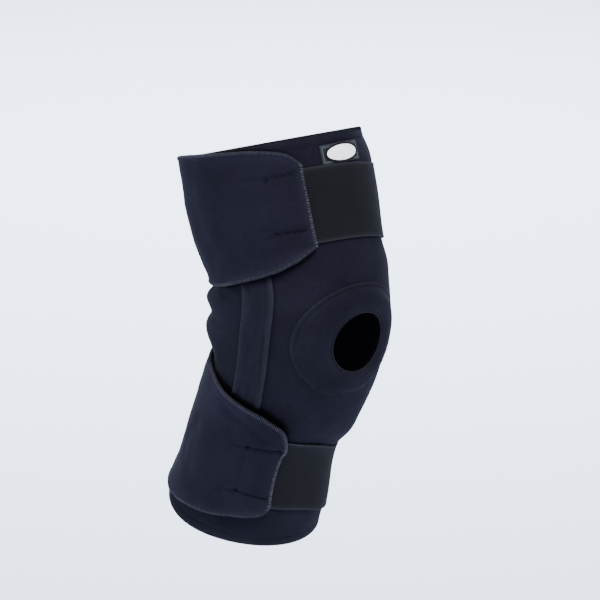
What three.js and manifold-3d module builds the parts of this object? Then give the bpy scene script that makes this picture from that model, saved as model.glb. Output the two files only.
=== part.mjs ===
// A knee sleeve with two wrap straps, in the form that it has on a slightly bent right leg.
// Millimetres, +Z up, the knee cap towards -Y and the outer side of the leg towards -X.
// The origin lies on the axis of the leg, in the middle of the bend of the knee.

import Module from "manifold-3d";
import * as THREE from "three";
import { mergeVertices } from "three/addons/utils/BufferGeometryUtils.js";

const wasm = await Module();
wasm.setup();

// The leg that fills the sleeve: lengths along its axis, outer widths and tilts in degrees
const thighLength = 131;
const calfLength = 168;
const thighWidth = 139;
const kneeWidth = 130;
const calfWidth = 117;
const thighTilt = 14.6;
const calfTilt = 24;
const bendLength = 100;

// The knee cap's swelling at the front, and the folds behind the knee
const capPlace = 10;
const capHeight = 3.5;
const capAbove = 15;
const capBelow = 30;
const capAngle = 50;
const foldHeight = 8;
const foldLength = 13;
const foldStartAngle = 95;
const foldEndAngle = 155;

// How much lower the bottom hem sits behind than in front, as half of the difference
const hemDip = 3;

// Walls and the clearance between layers
const sleeveWall = 3;
const wrapWall = 3;
const elasticWall = 1.5;
const hookWall = 1;
const labelWall = 1;
const badgeWall = 0.8;
const layerGap = 0.5;

// The opening for the knee cap and the padded ring round it
const openingPlace = -1;
const openingAngle = 3.2;
const openingWidth = 47;
const openingHeight = 46;
const padWidth = 110;
const padHeight = 90;
const padEdge = 1;
const padCrown = 2.4;

// Places along the leg, as shares of the thigh's length above the knee and of the calf's below it
const pocketTopShare = 0.809;
const upperElasticShare = 0.626;
const upperWrapShare = 0.244;
const lowerWrapShare = 0.292;
const lowerElasticShare = 0.607;
const pocketBottomShare = 0.845;

// The pocket of the stay on the outer side of the leg, with a ridge near each edge that rises, levels
// out and ends at these shares of the pocket's width from the edge
const pocketWall = 1.3;
const ridgeHeight = 1;
const ridgeShares = { crest: 0.1, shoulder: 0.15, foot: 0.3 };

// The elastic bands, and the wraps that end over them
const upperElasticWidth = 55;
const lowerElasticWidth = 60;
const upperElasticStartAngle = 51;
const lowerElasticStartAngle = 60;
const elasticEndAngle = -138;
const wrapMargin = 2;
const wrapRootAngle = 256;
const hookLength = 28;
const hookInset = 4;

// Turn in which a layer climbs onto the one under it, and how far past that one's end it starts
const wrapRampAngle = 9;
const wrapClearAngle = 1;
const elasticRampAngle = 12;
const elasticClearAngle = 8;

// The label over the upper band
const labelWidth = 38;
const labelHeight = 15.5;
const labelAngle = -2.5;
const labelGap = 0.8;
const badgeWidth = 32;
const badgeHeight = 11.5;

// Steps of the faceted surfaces
const sleeveSides = 40;
const kneeStep = 5.5;
const outerLimbStep = 10;
const innerLimbStep = 20;
const wrapSteps = [34, 9];
const elasticSteps = [24, 6];
const pocketSteps = [8, 24];
const padSides = 32;
const openingSides = 36;
const badgeSides = 20;
const hookSteps = [5, 3];
const labelSteps = [6, 2];
const mergeDistance = 1e-4;

// How strongly a wrap's steps crowd towards its front end and towards its edge at the knee
const endCrowding = 1.3;
const edgeCrowding = 1.6;

const fullTurn = 360;

// Sections from the top hem down to the bottom hem: along is a share of the thigh's length above the
// knee and of the calf's below it, and the other columns are shares of the width that the row follows.
const sections = [
  { along: 1.0, follows: thighWidth, width: 0.988, depth: 0.938, forward: -0.008 },
  { along: 0.64, follows: thighWidth, width: 0.99, depth: 0.96, forward: -0.006 },
  { along: 0.344, follows: kneeWidth, width: 0.998, depth: 0.975, forward: 0.013 },
  { along: 0.115, follows: kneeWidth, width: 1.008, depth: 0.985, forward: 0.034 },
  { along: -0.06, follows: kneeWidth, width: 0.985, depth: 0.975, forward: 0.032 },
  { along: -0.208, follows: kneeWidth, width: 0.948, depth: 0.942, forward: 0.03 },
  { along: -0.357, follows: calfWidth, width: 1.0, depth: 0.975, forward: 0.01 },
  { along: -0.506, follows: calfWidth, width: 0.937, depth: 0.91, forward: -0.022 },
  { along: -0.655, follows: calfWidth, width: 0.942, depth: 0.912, forward: -0.016 },
  { along: -0.833, follows: calfWidth, width: 0.977, depth: 0.957, forward: 0.016 },
  { along: -1.0, follows: calfWidth, width: 1.015, depth: 0.98, forward: 0.022 },
];

// Folds across the back of the knee: reach is a share of the fold's length, height of its height.
const folds = [
  { along: 0.26, reach: 0.9, height: -0.45 },
  { along: 0.122, reach: 0.77, height: 0.88 },
  { along: -0.11, reach: 1.1, height: 1.0 },
  { along: -0.26, reach: 0.75, height: -0.4 },
];

// Edges of the wraps round the leg, from the front end to the root. toKnee goes from the end of the
// wrap (0) to its lowest or highest place behind the knee (1), toHem from its end (0) to the hem (1).
const upperWrapEdges = [
  { angle: 28, toKnee: 0.0, toHem: 0.0 },
  { angle: 30, toKnee: 0.12, toHem: 0.32 },
  { angle: 35, toKnee: 0.25, toHem: 0.63 },
  { angle: 42, toKnee: 0.4, toHem: 0.84 },
  { angle: 55, toKnee: 0.6, toHem: 0.98 },
  { angle: 75, toKnee: 0.75, toHem: 1.04 },
  { angle: 104, toKnee: 0.95, toHem: 1.1 },
  { angle: 135, toKnee: 1.0, toHem: 1.08 },
  { angle: 180, toKnee: 0.95, toHem: 0.95 },
  { angle: wrapRootAngle, toKnee: 0.35, toHem: 0.42 },
];
const lowerWrapEdges = [
  { angle: 31.5, toKnee: 0.0, toHem: 0.0 },
  { angle: 33.5, toKnee: 0.14, toHem: 0.14 },
  { angle: 38, toKnee: 0.42, toHem: 0.24 },
  { angle: 45, toKnee: 0.68, toHem: 0.32 },
  { angle: 58, toKnee: 0.93, toHem: 0.43 },
  { angle: 72, toKnee: 1.0, toHem: 0.57 },
  { angle: 90, toKnee: 1.03, toHem: 0.65 },
  { angle: 125, toKnee: 1.03, toHem: 0.8 },
  { angle: 180, toKnee: 1.0, toHem: 0.84 },
  { angle: wrapRootAngle, toKnee: 0.3, toHem: 0.45 },
];

// How far the middle of each band sinks round the leg, as a share of the band's width.
const upperElasticSink = [
  { angle: 50, sink: 0.0 },
  { angle: 0, sink: 0.01 },
  { angle: -40, sink: 0.07 },
  { angle: -90, sink: 0.12 },
  { angle: elasticEndAngle, sink: 0.12 },
];
const lowerElasticSink = [
  { angle: 50, sink: 0.0 },
  { angle: 22, sink: 0.0 },
  { angle: 2, sink: 0.03 },
  { angle: -15, sink: 0.12 },
  { angle: -30, sink: 0.21 },
  { angle: -50, sink: 0.29 },
  { angle: -90, sink: 0.36 },
  { angle: elasticEndAngle, sink: 0.36 },
];

// Edges of the stay's pocket in degrees round the leg, down from its top (0) to its bottom (1).
const pocketEdges = [
  { down: 0.0, front: 61, back: 83 },
  { down: 0.3, front: 60, back: 83 },
  { down: 0.42, front: 64, back: 87 },
  { down: 0.55, front: 64.5, back: 88 },
  { down: 0.65, front: 62, back: 87 },
  { down: 1.0, front: 62, back: 86 },
];

const { clamp, degToRad, euclideanModulo, lerp, radToDeg, smoothstep } = THREE.MathUtils;

// The value of one column of a table at a place between its rows, on a smooth curve through them.
function between(rows, key, column, at) {
  const rising = [...rows].sort((a, b) => a[key] - b[key]);
  const last = rising.length - 1;
  const place = clamp(at, rising[0][key], rising[last][key]);
  const i = Math.min(Math.max(rising.findIndex((row) => row[key] > place), 1), last);
  const before = rising[place >= rising[last][key] ? last - 1 : i - 1];
  const after = rising[place >= rising[last][key] ? last : i];
  const slopeAt = (row) => {
    const n = rising.indexOf(row);
    const a = rising[Math.max(n - 1, 0)];
    const b = rising[Math.min(n + 1, last)];
    return (b[column] - a[column]) / (b[key] - a[key]);
  };
  const span = after[key] - before[key];
  const t = (place - before[key]) / span;
  const ease = t * t * (3 - 2 * t);
  const leave = t * (1 - t) * (1 - t) * span * slopeAt(before);
  const arrive = t * t * (1 - t) * span * slopeAt(after);
  return lerp(before[column], after[column], ease) + leave - arrive;
}

// A bell-shaped swelling that is 1 at its middle.
const swelling = (distance, reach) => Math.exp(-((distance / reach) ** 2));

// Length along the axis that a share of the thigh (above 0) or of the calf (below 0) stands for.
const lengthAlong = (share) => share * (share > 0 ? thighLength : calfLength);

const placedSections = sections.map((row) => ({
  s: lengthAlong(row.along),
  halfWidth: (row.width * row.follows) / 2,
  halfDepth: (row.depth * row.follows) / 2,
  forward: row.forward * row.follows,
}));

const bendRadius = bendLength / degToRad(thighTilt + calfTilt);

// The lean of the axis at a length s above the knee: it turns evenly through the bend.
function axisLean(s) {
  const turned = clamp(s / bendLength + 0.5, 0, 1);
  return degToRad(lerp(-calfTilt, thighTilt, turned));
}

// A point of the axis in the plane of Y and Z: an arc with a straight stretch at each end.
function axisPoint(s) {
  const onArc = clamp(s, -bendLength / 2, bendLength / 2);
  const middle = axisLean(0);
  const lean = axisLean(s);
  const past = s - onArc;
  return {
    y: bendRadius * (Math.cos(middle) - Math.cos(lean)) + past * Math.sin(lean),
    z: bendRadius * (Math.sin(lean) - Math.sin(middle)) + past * Math.cos(lean),
  };
}

// Height of the folds at the back, which die out towards the sides.
function foldAt(s, degrees) {
  const share = smoothstep(Math.abs(degrees), foldStartAngle, foldEndAngle);
  const heights = folds.map(
    ({ along, reach, height }) => height * swelling(s - lengthAlong(along), reach * foldLength),
  );
  return foldHeight * share * heights.reduce((sum, height) => sum + height, 0);
}

// A point of the sleeve's outer face: s up along the axis, degrees from the front to the outer side.
function facePoint(s, degrees) {
  const turned = euclideanModulo(degrees + fullTurn / 2, fullTurn) - fullTurn / 2;
  const radians = degToRad(turned);
  const halfWidth = between(placedSections, "s", "halfWidth", s);
  const halfDepth = between(placedSections, "s", "halfDepth", s);
  const forward = between(placedSections, "s", "forward", s);
  const above = s - capPlace;
  const cap = capHeight * swelling(above, above > 0 ? capAbove : capBelow) * swelling(turned, capAngle);
  const fold = foldAt(s, turned);
  const front = (halfDepth + fold + cap) * Math.cos(radians) + forward;
  const lean = axisLean(s);
  const axis = axisPoint(s);
  return new THREE.Vector3(
    -(halfWidth + fold) * Math.sin(radians),
    axis.y - front * Math.cos(lean),
    axis.z + front * Math.sin(lean),
  );
}

const probe = 0.25;

// How the face runs at a point: per millimetre of the axis and per degree round the leg.
function faceSlopes(s, degrees) {
  const up = facePoint(s + probe, degrees).sub(facePoint(s - probe, degrees)).divideScalar(2 * probe);
  const round = facePoint(s, degrees + probe).sub(facePoint(s, degrees - probe)).divideScalar(2 * probe);
  return { up, round };
}

// A point at a height over the sleeve's outer face, below it where the height is negative.
function overFace(s, degrees, height) {
  const { up, round } = faceSlopes(s, degrees);
  const outward = round.cross(up).normalize().negate();
  return facePoint(s, degrees).addScaledVector(outward, height);
}

// A point beside a place on the face, by real distances to the inner side of the leg and upwards.
function besidePlace(place, side, rise, height) {
  const { up, round } = faceSlopes(place.s, place.degrees);
  return overFace(place.s + rise / up.length(), place.degrees - side / round.length(), height);
}

// Moves every corner of a plain turned or boxed body by a rule, and joins the corners that meet.
function shaped(plain, rule) {
  const geometry = plain.clone();
  const corners = geometry.attributes.position;
  for (let i = 0; i < corners.count; i += 1) {
    const corner = rule(new THREE.Vector3().fromBufferAttribute(corners, i));
    corners.setXYZ(i, corner.x, corner.y, corner.z);
  }
  geometry.deleteAttribute("normal");
  geometry.deleteAttribute("uv");
  const joined = mergeVertices(geometry, mergeDistance);
  joined.computeVertexNormals();
  return joined;
}

// One closed body less another.
function cut(body, tool) {
  const [kept, taken] = [body, tool].map((geometry) => {
    const vertProperties = new Float32Array(geometry.attributes.position.array);
    const triVerts = new Uint32Array(geometry.index.array);
    return new wasm.Manifold(new wasm.Mesh({ numProp: 3, vertProperties, triVerts }));
  });
  const mesh = kept.subtract(taken).getMesh();
  const geometry = new THREE.BufferGeometry();
  geometry.setAttribute("position", new THREE.BufferAttribute(new Float32Array(mesh.vertProperties), 3));
  geometry.setIndex(new THREE.BufferAttribute(new Uint32Array(mesh.triVerts), 1));
  geometry.computeVertexNormals();
  return geometry;
}

// A turned body's corner as its turn in degrees, its radius and its height.
function turnedParts(corner) {
  return {
    degrees: radToDeg(Math.atan2(corner.x, corner.z)),
    radius: Math.hypot(corner.x, corner.z),
    height: corner.y,
  };
}

// Lengths along the axis from the bottom hem to the top hem, closer together at the knee.
function sleeveRows(limbStep) {
  const reach = bendLength / 2;
  const stretches = [
    { from: -calfLength, to: -reach, step: limbStep },
    { from: -reach, to: reach, step: kneeStep },
    { from: reach, to: thighLength, step: limbStep },
  ];
  const rows = stretches.flatMap(({ from, to, step }) => {
    const count = Math.max(Math.round((to - from) / step), 1);
    return Array.from({ length: count }, (_, i) => lerp(from, to, i / count));
  });
  return [...rows, thighLength];
}

// The dip of the bottom hem, which dies out at the middle of the calf.
const dipped = (s, degrees) =>
  s + hemDip * Math.cos(degToRad(degrees)) * smoothstep(-s, calfLength / 2, calfLength);

// The tube is turned round a wide axis first, so that its radius tells the outer face from the inner.
function sleeveGeometry() {
  const turnRadius = thighWidth;
  const inner = sleeveRows(innerLimbStep).map((s) => new THREE.Vector2(turnRadius - sleeveWall, s));
  const outer = sleeveRows(outerLimbStep).map((s) => new THREE.Vector2(turnRadius, s)).reverse();
  const tube = new THREE.LatheGeometry([...inner, ...outer, inner[0].clone()], sleeveSides);
  const wall = shaped(tube, (corner) => {
    const { degrees, radius, height } = turnedParts(corner);
    return overFace(dipped(height, degrees), degrees, radius - turnRadius);
  });
  return cut(wall, openingGeometry());
}

const openingCentre = { s: openingPlace, degrees: openingAngle };

// A plug of the opening's outline that passes through the wall of the sleeve.
function openingGeometry() {
  const depth = 4 * sleeveWall;
  const plug = new THREE.CylinderGeometry(1, 1, depth, openingSides);
  return shaped(plug, ({ x, y, z }) =>
    besidePlace(openingCentre, (x * openingWidth) / 2, (-z * openingHeight) / 2, y),
  );
}

// The ring lies on the sleeve, with its hole in line with the opening and a soft crown.
function padGeometry() {
  const inner = 1;
  const outer = 2;
  const section = [
    { share: 0.0, height: 0 },
    { share: 0.0, height: padEdge },
    { share: 0.12, height: padCrown },
    { share: 0.45, height: padCrown },
    { share: 0.8, height: padCrown },
    { share: 1.0, height: padEdge },
    { share: 1.0, height: 0 },
    { share: 0.7, height: 0 },
    { share: 0.35, height: 0 },
  ];
  const profile = section.map(({ share, height }) => new THREE.Vector2(lerp(inner, outer, share), height));
  const ring = new THREE.LatheGeometry([...profile, profile[0].clone()], padSides);
  return shaped(ring, (corner) => {
    const { degrees, radius, height } = turnedParts(corner);
    const share = (radius - inner) / (outer - inner);
    const side = (Math.sin(degToRad(degrees)) * lerp(openingWidth, padWidth, share)) / 2;
    const rise = (Math.cos(degToRad(degrees)) * lerp(openingHeight, padHeight, share)) / 2;
    return besidePlace(openingCentre, side, rise, layerGap + height);
  });
}

const pocketTop = lengthAlong(pocketTopShare);
const pocketBottom = lengthAlong(-pocketBottomShare);

// Edge of the stay's pocket at a length s along the axis.
const pocketEdge = (column, s) =>
  between(pocketEdges, "down", column, (pocketTop - s) / (pocketTop - pocketBottom));

// Height of the ridge at a share of the pocket's width from its nearer edge.
function ridgeAt(share) {
  const { crest, shoulder, foot } = ridgeShares;
  return ridgeHeight * smoothstep(share, 0, crest) * (1 - smoothstep(share, shoulder, foot));
}

// A flat strip with a raised ridge along each edge.
function pocketGeometry() {
  const [across, along] = pocketSteps;
  const strip = new THREE.BoxGeometry(1, 1, 1, across, along);
  return shaped(strip, ({ x, y, z }) => {
    const s = lerp(pocketBottom, pocketTop, y + 0.5);
    const degrees = lerp(pocketEdge("back", s), pocketEdge("front", s), x + 0.5);
    const wall = pocketWall + ridgeAt(0.5 - Math.abs(x));
    return overFace(s, degrees, layerGap + (z > 0 ? wall : 0));
  });
}

// What the wrap has to clear on its way over the pocket and over the end of the band.
function wrapLift(band, s, degrees) {
  const front = pocketEdge("front", s);
  const back = pocketEdge("back", s);
  const past = band.start + wrapClearAngle;
  const overPocket =
    smoothstep(degrees, front - wrapRampAngle, front) *
    (1 - smoothstep(degrees, back, back + wrapRampAngle));
  const overBand = 1 - smoothstep(degrees, past, past + wrapRampAngle);
  const pocketLift = (pocketWall + ridgeHeight + layerGap) * overPocket;
  const bandLift = (elasticWall + layerGap) * overBand;
  return Math.max(pocketLift, bandLift);
}

// What the band has to clear on its way over the root of the wrap and over its own hook patch.
function elasticLift(degrees) {
  const past = wrapRootAngle - fullTurn + elasticClearAngle;
  const overRoot = 1 - smoothstep(degrees, past, past + elasticRampAngle);
  return (wrapWall + hookWall + 2 * layerGap) * overRoot;
}

// One wrap: a panel from its root behind the inner side, round the back and the outer side, to its
// rounded end at the front. band is the middle and the width of the elastic band that it ends over.
function wrapGeometry(edges, band, knee, hem) {
  const [round, across] = wrapSteps;
  const halfEnd = (band.width / 2 + wrapMargin) * Math.sign(hem - knee);
  const kneeEdge = (degrees) => lerp(band.s - halfEnd, knee, between(edges, "angle", "toKnee", degrees));
  const hemEdge = (degrees) => lerp(band.s + halfEnd, hem, between(edges, "angle", "toHem", degrees));
  const panel = new THREE.BoxGeometry(1, 1, 1, round, across);
  return shaped(panel, ({ x, y, z }) => {
    const degrees = lerp(edges[0].angle, wrapRootAngle, (0.5 - x) ** endCrowding);
    const low = Math.min(kneeEdge(degrees), hemEdge(degrees));
    const high = Math.max(kneeEdge(degrees), hemEdge(degrees));
    const fromLow = hem > knee ? (y + 0.5) ** edgeCrowding : 1 - (0.5 - y) ** edgeCrowding;
    const s = lerp(low, high, fromLow);
    return overFace(s, degrees, layerGap + wrapLift(band, s, degrees) + (z > 0 ? wrapWall : 0));
  });
}

// The middle of a band at a place round the leg.
const bandMiddle = (band, degrees) => band.s - band.width * between(band.sink, "angle", "sink", degrees);

// One band: from under the end of its wrap, round the front and the inner side, to its free end.
function elasticGeometry(band) {
  const [round, across] = elasticSteps;
  const strip = new THREE.BoxGeometry(1, 1, 1, round, across);
  return shaped(strip, ({ x, y, z }) => {
    const degrees = lerp(band.start, elasticEndAngle, x + 0.5);
    const s = bandMiddle(band, degrees) + y * band.width;
    return overFace(s, degrees, layerGap + elasticLift(degrees) + (z > 0 ? elasticWall : 0));
  });
}

// The hook patch under the free end of a band, where it grips the root of the wrap.
function hookGeometry(band) {
  const patch = new THREE.BoxGeometry(hookLength, band.width - 2 * hookInset, 1, ...hookSteps);
  return shaped(patch, ({ x, y, z }) => {
    const { round } = faceSlopes(band.s, elasticEndAngle);
    const fromEnd = hookInset + hookLength / 2 - x;
    const degrees = elasticEndAngle + fromEnd / round.length();
    return overFace(bandMiddle(band, degrees) + y, degrees, wrapWall + 2 * layerGap + (z > 0 ? hookWall : 0));
  });
}

const upperBand = {
  s: lengthAlong(upperElasticShare),
  width: upperElasticWidth,
  start: upperElasticStartAngle,
  sink: upperElasticSink,
};
const lowerBand = {
  s: lengthAlong(-lowerElasticShare),
  width: lowerElasticWidth,
  start: lowerElasticStartAngle,
  sink: lowerElasticSink,
};

// The label stands on the sleeve just over the upper band.
const labelPlace = {
  s: bandMiddle(upperBand, labelAngle) + upperElasticWidth / 2 + labelGap + labelHeight / 2,
  degrees: labelAngle,
};

function labelGeometry() {
  const tab = new THREE.BoxGeometry(labelWidth, labelHeight, 1, ...labelSteps);
  return shaped(tab, ({ x, y, z }) => besidePlace(labelPlace, x, y, layerGap + (z > 0 ? labelWall : 0)));
}

function badgeGeometry() {
  const section = [
    [0, 0],
    [0.5, 0],
    [1, 0],
    [1, badgeWall],
    [0.5, badgeWall],
    [0, badgeWall],
  ];
  const oval = new THREE.LatheGeometry(section.map(([x, y]) => new THREE.Vector2(x, y)), badgeSides);
  return shaped(oval, ({ x, y, z }) =>
    besidePlace(labelPlace, (x * badgeWidth) / 2, (-z * badgeHeight) / 2, labelWall + 2 * layerGap + y),
  );
}

const neoprene = { color: 0x222431, roughness: 0.9, metalness: 0 };
const webbing = { color: 0x1f2025, roughness: 0.8, metalness: 0 };
const hooks = { color: 0x18191c, roughness: 0.7, metalness: 0 };

const pieces = [
  { name: "sleeve", geometry: sleeveGeometry(), finish: neoprene },
  { name: "patella_pad", geometry: padGeometry(), finish: { ...neoprene, color: 0x252733 } },
  { name: "stay_pocket", geometry: pocketGeometry(), finish: { ...neoprene, color: 0x252835 } },
  {
    name: "upper_wrap",
    geometry: wrapGeometry(upperWrapEdges, upperBand, lengthAlong(upperWrapShare), thighLength),
    finish: neoprene,
  },
  {
    name: "lower_wrap",
    geometry: wrapGeometry(lowerWrapEdges, lowerBand, lengthAlong(-lowerWrapShare), -calfLength),
    finish: neoprene,
  },
  { name: "upper_elastic", geometry: elasticGeometry(upperBand), finish: webbing },
  { name: "lower_elastic", geometry: elasticGeometry(lowerBand), finish: webbing },
  { name: "upper_hook_tab", geometry: hookGeometry(upperBand), finish: hooks },
  { name: "lower_hook_tab", geometry: hookGeometry(lowerBand), finish: hooks },
  { name: "label_tab", geometry: labelGeometry(), finish: { ...webbing, color: 0x34383e } },
  { name: "label_badge", geometry: badgeGeometry(), finish: { ...webbing, color: 0xe8e8e4 } },
];

const kneeSleeve = new THREE.Group();
for (const { name, geometry, finish } of pieces) {
  const mesh = new THREE.Mesh(geometry, new THREE.MeshStandardMaterial(finish));
  mesh.name = name;
  kneeSleeve.add(mesh);
}

export default kneeSleeve;
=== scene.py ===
"""A knee sleeve with two wrap straps, in the form that it has on a slightly bent right leg.

The classes count in millimetres and the meshes are in metres, in the frame of the solids: +Z up, the front
of the knee towards -Y and the outer side of the leg towards -X. A place on the leg is s, the length up its
axis from the middle of the knee, and an angle in degrees from the front to the outer side.
"""

from __future__ import annotations

import logging
import math
from dataclasses import dataclass, field
from enum import Enum
from typing import Sequence

import bmesh
import bpy
import numpy as np
from mathutils import Matrix, Vector, noise

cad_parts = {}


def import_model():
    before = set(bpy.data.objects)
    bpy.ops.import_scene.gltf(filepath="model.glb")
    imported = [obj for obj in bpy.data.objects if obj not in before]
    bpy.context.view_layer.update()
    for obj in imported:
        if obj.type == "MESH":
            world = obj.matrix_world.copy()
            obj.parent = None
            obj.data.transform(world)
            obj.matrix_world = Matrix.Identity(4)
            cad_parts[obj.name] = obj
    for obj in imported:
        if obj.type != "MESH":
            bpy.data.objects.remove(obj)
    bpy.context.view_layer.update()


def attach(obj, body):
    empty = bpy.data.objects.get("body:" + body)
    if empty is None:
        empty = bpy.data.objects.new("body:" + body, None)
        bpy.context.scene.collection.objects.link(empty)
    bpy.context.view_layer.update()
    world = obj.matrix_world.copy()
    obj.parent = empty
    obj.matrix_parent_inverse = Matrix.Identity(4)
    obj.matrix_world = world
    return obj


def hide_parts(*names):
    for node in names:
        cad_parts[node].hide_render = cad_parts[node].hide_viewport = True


log = logging.getLogger("knee_sleeve")

MM = 0.001
FULL_TURN = 360.0
HALF_TURN = 180.0
Array = np.ndarray
Tree = bpy.types.NodeTree
Socket = bpy.types.NodeSocket


def ease(value: Array, start: float, end: float) -> Array:
    """Smooth step from 0 at start to 1 at end."""
    share = np.clip((value - start) / (end - start), 0.0, 1.0)
    return share * share * (3.0 - 2.0 * share)


def bell(distance: Array, reach: float | Array) -> Array:
    """Bell curve that is 1 at no distance."""
    return np.exp(-((distance / reach) ** 2))


def turned(degrees: Array, middle: float) -> Array:
    """Angles from a middle one, from -180 to 180."""
    return (degrees - middle + HALF_TURN) % FULL_TURN - HALF_TURN


def through(table: Array, column: int, at: Array) -> Array:
    """Reads a table on a smooth curve through its rows.

    Args:
        table: Rows that rise in their first column.
        column: The column to read.
        at: Places in the first column, held inside its range.

    Returns:
        The column's value at each place.
    """
    xs, ys = table[:, 0], table[:, column]
    slopes = np.empty(len(ys))
    slopes[1:-1] = (ys[2:] - ys[:-2]) / (xs[2:] - xs[:-2])
    slopes[0] = (ys[1] - ys[0]) / (xs[1] - xs[0])
    slopes[-1] = (ys[-1] - ys[-2]) / (xs[-1] - xs[-2])
    at = np.clip(at, xs[0], xs[-1])
    row = np.clip(np.searchsorted(xs, at, side="right") - 1, 0, len(xs) - 2)
    span = xs[row + 1] - xs[row]
    t = (at - xs[row]) / span
    blend = t * t * (3.0 - 2.0 * t)
    leave = t * (1.0 - t) ** 2 * span * slopes[row]
    arrive = t * t * (1.0 - t) * span * slopes[row + 1]
    return ys[row] + (ys[row + 1] - ys[row]) * blend + leave - arrive


def graded(count: int, length: float | Array, insets: Sequence[float]) -> Array:
    """Lays out positions from 0 to a length that lie close together at both ends.

    Args:
        count: How many positions there are.
        length: The length in each column of the result.
        insets: Distances of the first positions from either end, rising from 0.

    Returns:
        Positions, one row for each of count and one column for each length.
    """
    length = np.atleast_1d(np.asarray(length, float))
    ends = np.asarray(insets, float)[:, None]
    middle = np.linspace(0.0, 1.0, count - 2 * len(insets) + 2)[1:-1, None]
    inner = ends[-1] + middle * (length - 2.0 * ends[-1])
    return np.vstack([ends + 0.0 * length, inner, (length - ends)[::-1]])


def lumps(points: Array, size: float, seed: float) -> Array:
    """Smooth noise from -1 to 1 at points, with lumps of a given size."""
    shift = Vector((seed * 17.3, seed * 5.1, seed * 9.7))
    return np.array([noise.noise(Vector(p) / size + shift) for p in points.tolist()])


def lengths(vectors: Array) -> Array:
    """Length of each vector in the rows of an array."""
    return np.linalg.norm(vectors, axis=-1)


def unit(vectors: Array) -> Array:
    """Each vector in the rows of an array at length 1."""
    return vectors / lengths(vectors)[..., None]


@dataclass
class LegForm:
    """The bent form that the sleeve is stretched over."""

    thigh_length: float = 131.0
    calf_length: float = 168.0
    thigh_width: float = 139.0
    knee_width: float = 130.0
    calf_width: float = 117.0
    thigh_tilt: float = 14.6
    calf_tilt: float = 24.0
    bend_length: float = 100.0
    cap_place: float = 10.0
    cap_height: float = 3.5
    cap_above: float = 15.0
    cap_below: float = 30.0
    cap_angle: float = 50.0
    fold_height: float = 8.0
    fold_length: float = 13.0
    fold_start: float = 95.0
    fold_end: float = 155.0
    folds: tuple[tuple[float, float, float], ...] = (
        (0.26, 0.9, -0.45),
        (0.122, 0.92, 0.98),
        (-0.11, 1.25, 1.08),
        (-0.26, 0.75, -0.4),
    )
    sections: Array = field(init=False)

    def __post_init__(self) -> None:
        """Works out the cross-sections: s, half width, half depth and forward shift."""
        thigh, knee, calf = self.thigh_width, self.knee_width, self.calf_width
        rows = [
            (1.0, thigh, 0.988, 0.938, -0.008),
            (0.64, thigh, 0.99, 0.96, -0.006),
            (0.344, knee, 0.998, 0.975, 0.013),
            (0.115, knee, 1.008, 0.985, 0.034),
            (-0.06, knee, 0.985, 0.975, 0.032),
            (-0.208, knee, 0.948, 0.942, 0.03),
            (-0.357, calf, 1.0, 0.975, 0.01),
            (-0.506, calf, 0.937, 0.91, -0.022),
            (-0.655, calf, 0.942, 0.912, -0.016),
            (-0.833, calf, 0.977, 0.957, 0.016),
            (-1.0, calf, 1.015, 0.98, 0.022),
        ]
        placed = [
            (self.along(share), width * follows / 2, depth * follows / 2, forward * follows)
            for share, follows, width, depth, forward in rows
        ]
        self.sections = np.array(placed[::-1])

    def along(self, share: float) -> float:
        """Length along the axis for a share of the thigh (above 0) or of the calf (below 0)."""
        return share * (self.thigh_length if share > 0 else self.calf_length)

    def lean(self, s: Array) -> Array:
        """Lean of the axis in radians, which turns evenly through the bend."""
        share = np.clip(s / self.bend_length + 0.5, 0.0, 1.0)
        return np.radians(-self.calf_tilt + (self.thigh_tilt + self.calf_tilt) * share)

    def axis(self, s: Array) -> tuple[Array, Array]:
        """Y and Z of the axis: an arc with a straight stretch at each end."""
        radius = self.bend_length / math.radians(self.thigh_tilt + self.calf_tilt)
        middle, lean = self.lean(np.zeros(1)), self.lean(s)
        past = s - np.clip(s, -self.bend_length / 2, self.bend_length / 2)
        y = radius * (np.cos(middle) - np.cos(lean)) + past * np.sin(lean)
        z = radius * (np.sin(lean) - np.sin(middle)) + past * np.cos(lean)
        return y, z

    def fold(self, s: Array, degrees: Array) -> Array:
        """Height of the folds behind the knee, which die out towards the sides."""
        heights = [
            height * bell(s - self.along(share), reach * self.fold_length)
            for share, reach, height in self.folds
        ]
        return self.fold_height * ease(np.abs(degrees), self.fold_start, self.fold_end) * sum(heights)

    def face(self, s: Array, degrees: Array) -> Array:
        """Points of the sleeve's outer face."""
        angle = turned(degrees, 0.0)
        radians = np.radians(angle)
        half_width, half_depth, forward = (through(self.sections, k, s) for k in (1, 2, 3))
        above = s - self.cap_place
        cap = self.cap_height * bell(above, np.where(above > 0, self.cap_above, self.cap_below))
        cap = cap * bell(angle, self.cap_angle)
        fold = self.fold(s, angle)
        front = (half_depth + fold + cap) * np.cos(radians) + forward
        y, z = self.axis(s)
        lean = self.lean(s)
        x = -(half_width + fold) * np.sin(radians)
        return np.stack([x, y - front * np.cos(lean), z + front * np.sin(lean)], -1)

    def slopes(self, s: Array, degrees: Array) -> tuple[Array, Array]:
        """How the face runs, per millimetre of the axis and per degree round the leg."""
        probe = 0.25
        up = self.face(s + probe, degrees) - self.face(s - probe, degrees)
        around = self.face(s, degrees + probe) - self.face(s, degrees - probe)
        return up / (2 * probe), around / (2 * probe)

    def over(self, s: Array, degrees: Array, height: float | Array) -> Array:
        """Points at a height over the sleeve's outer face."""
        up, around = self.slopes(s, degrees)
        outward = unit(np.cross(up, around))
        return self.face(s, degrees) + outward * np.asarray(height, float)[..., None]

    def beside(self, s: float, degrees: float, flat: Array) -> tuple[Array, Array]:
        """Turns distances to the inner side and upwards from a place into places on the leg."""
        up, around = self.slopes(np.array([s]), np.array([degrees]))
        return s + flat[:, 1] / lengths(up), degrees - flat[:, 0] / lengths(around)


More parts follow.
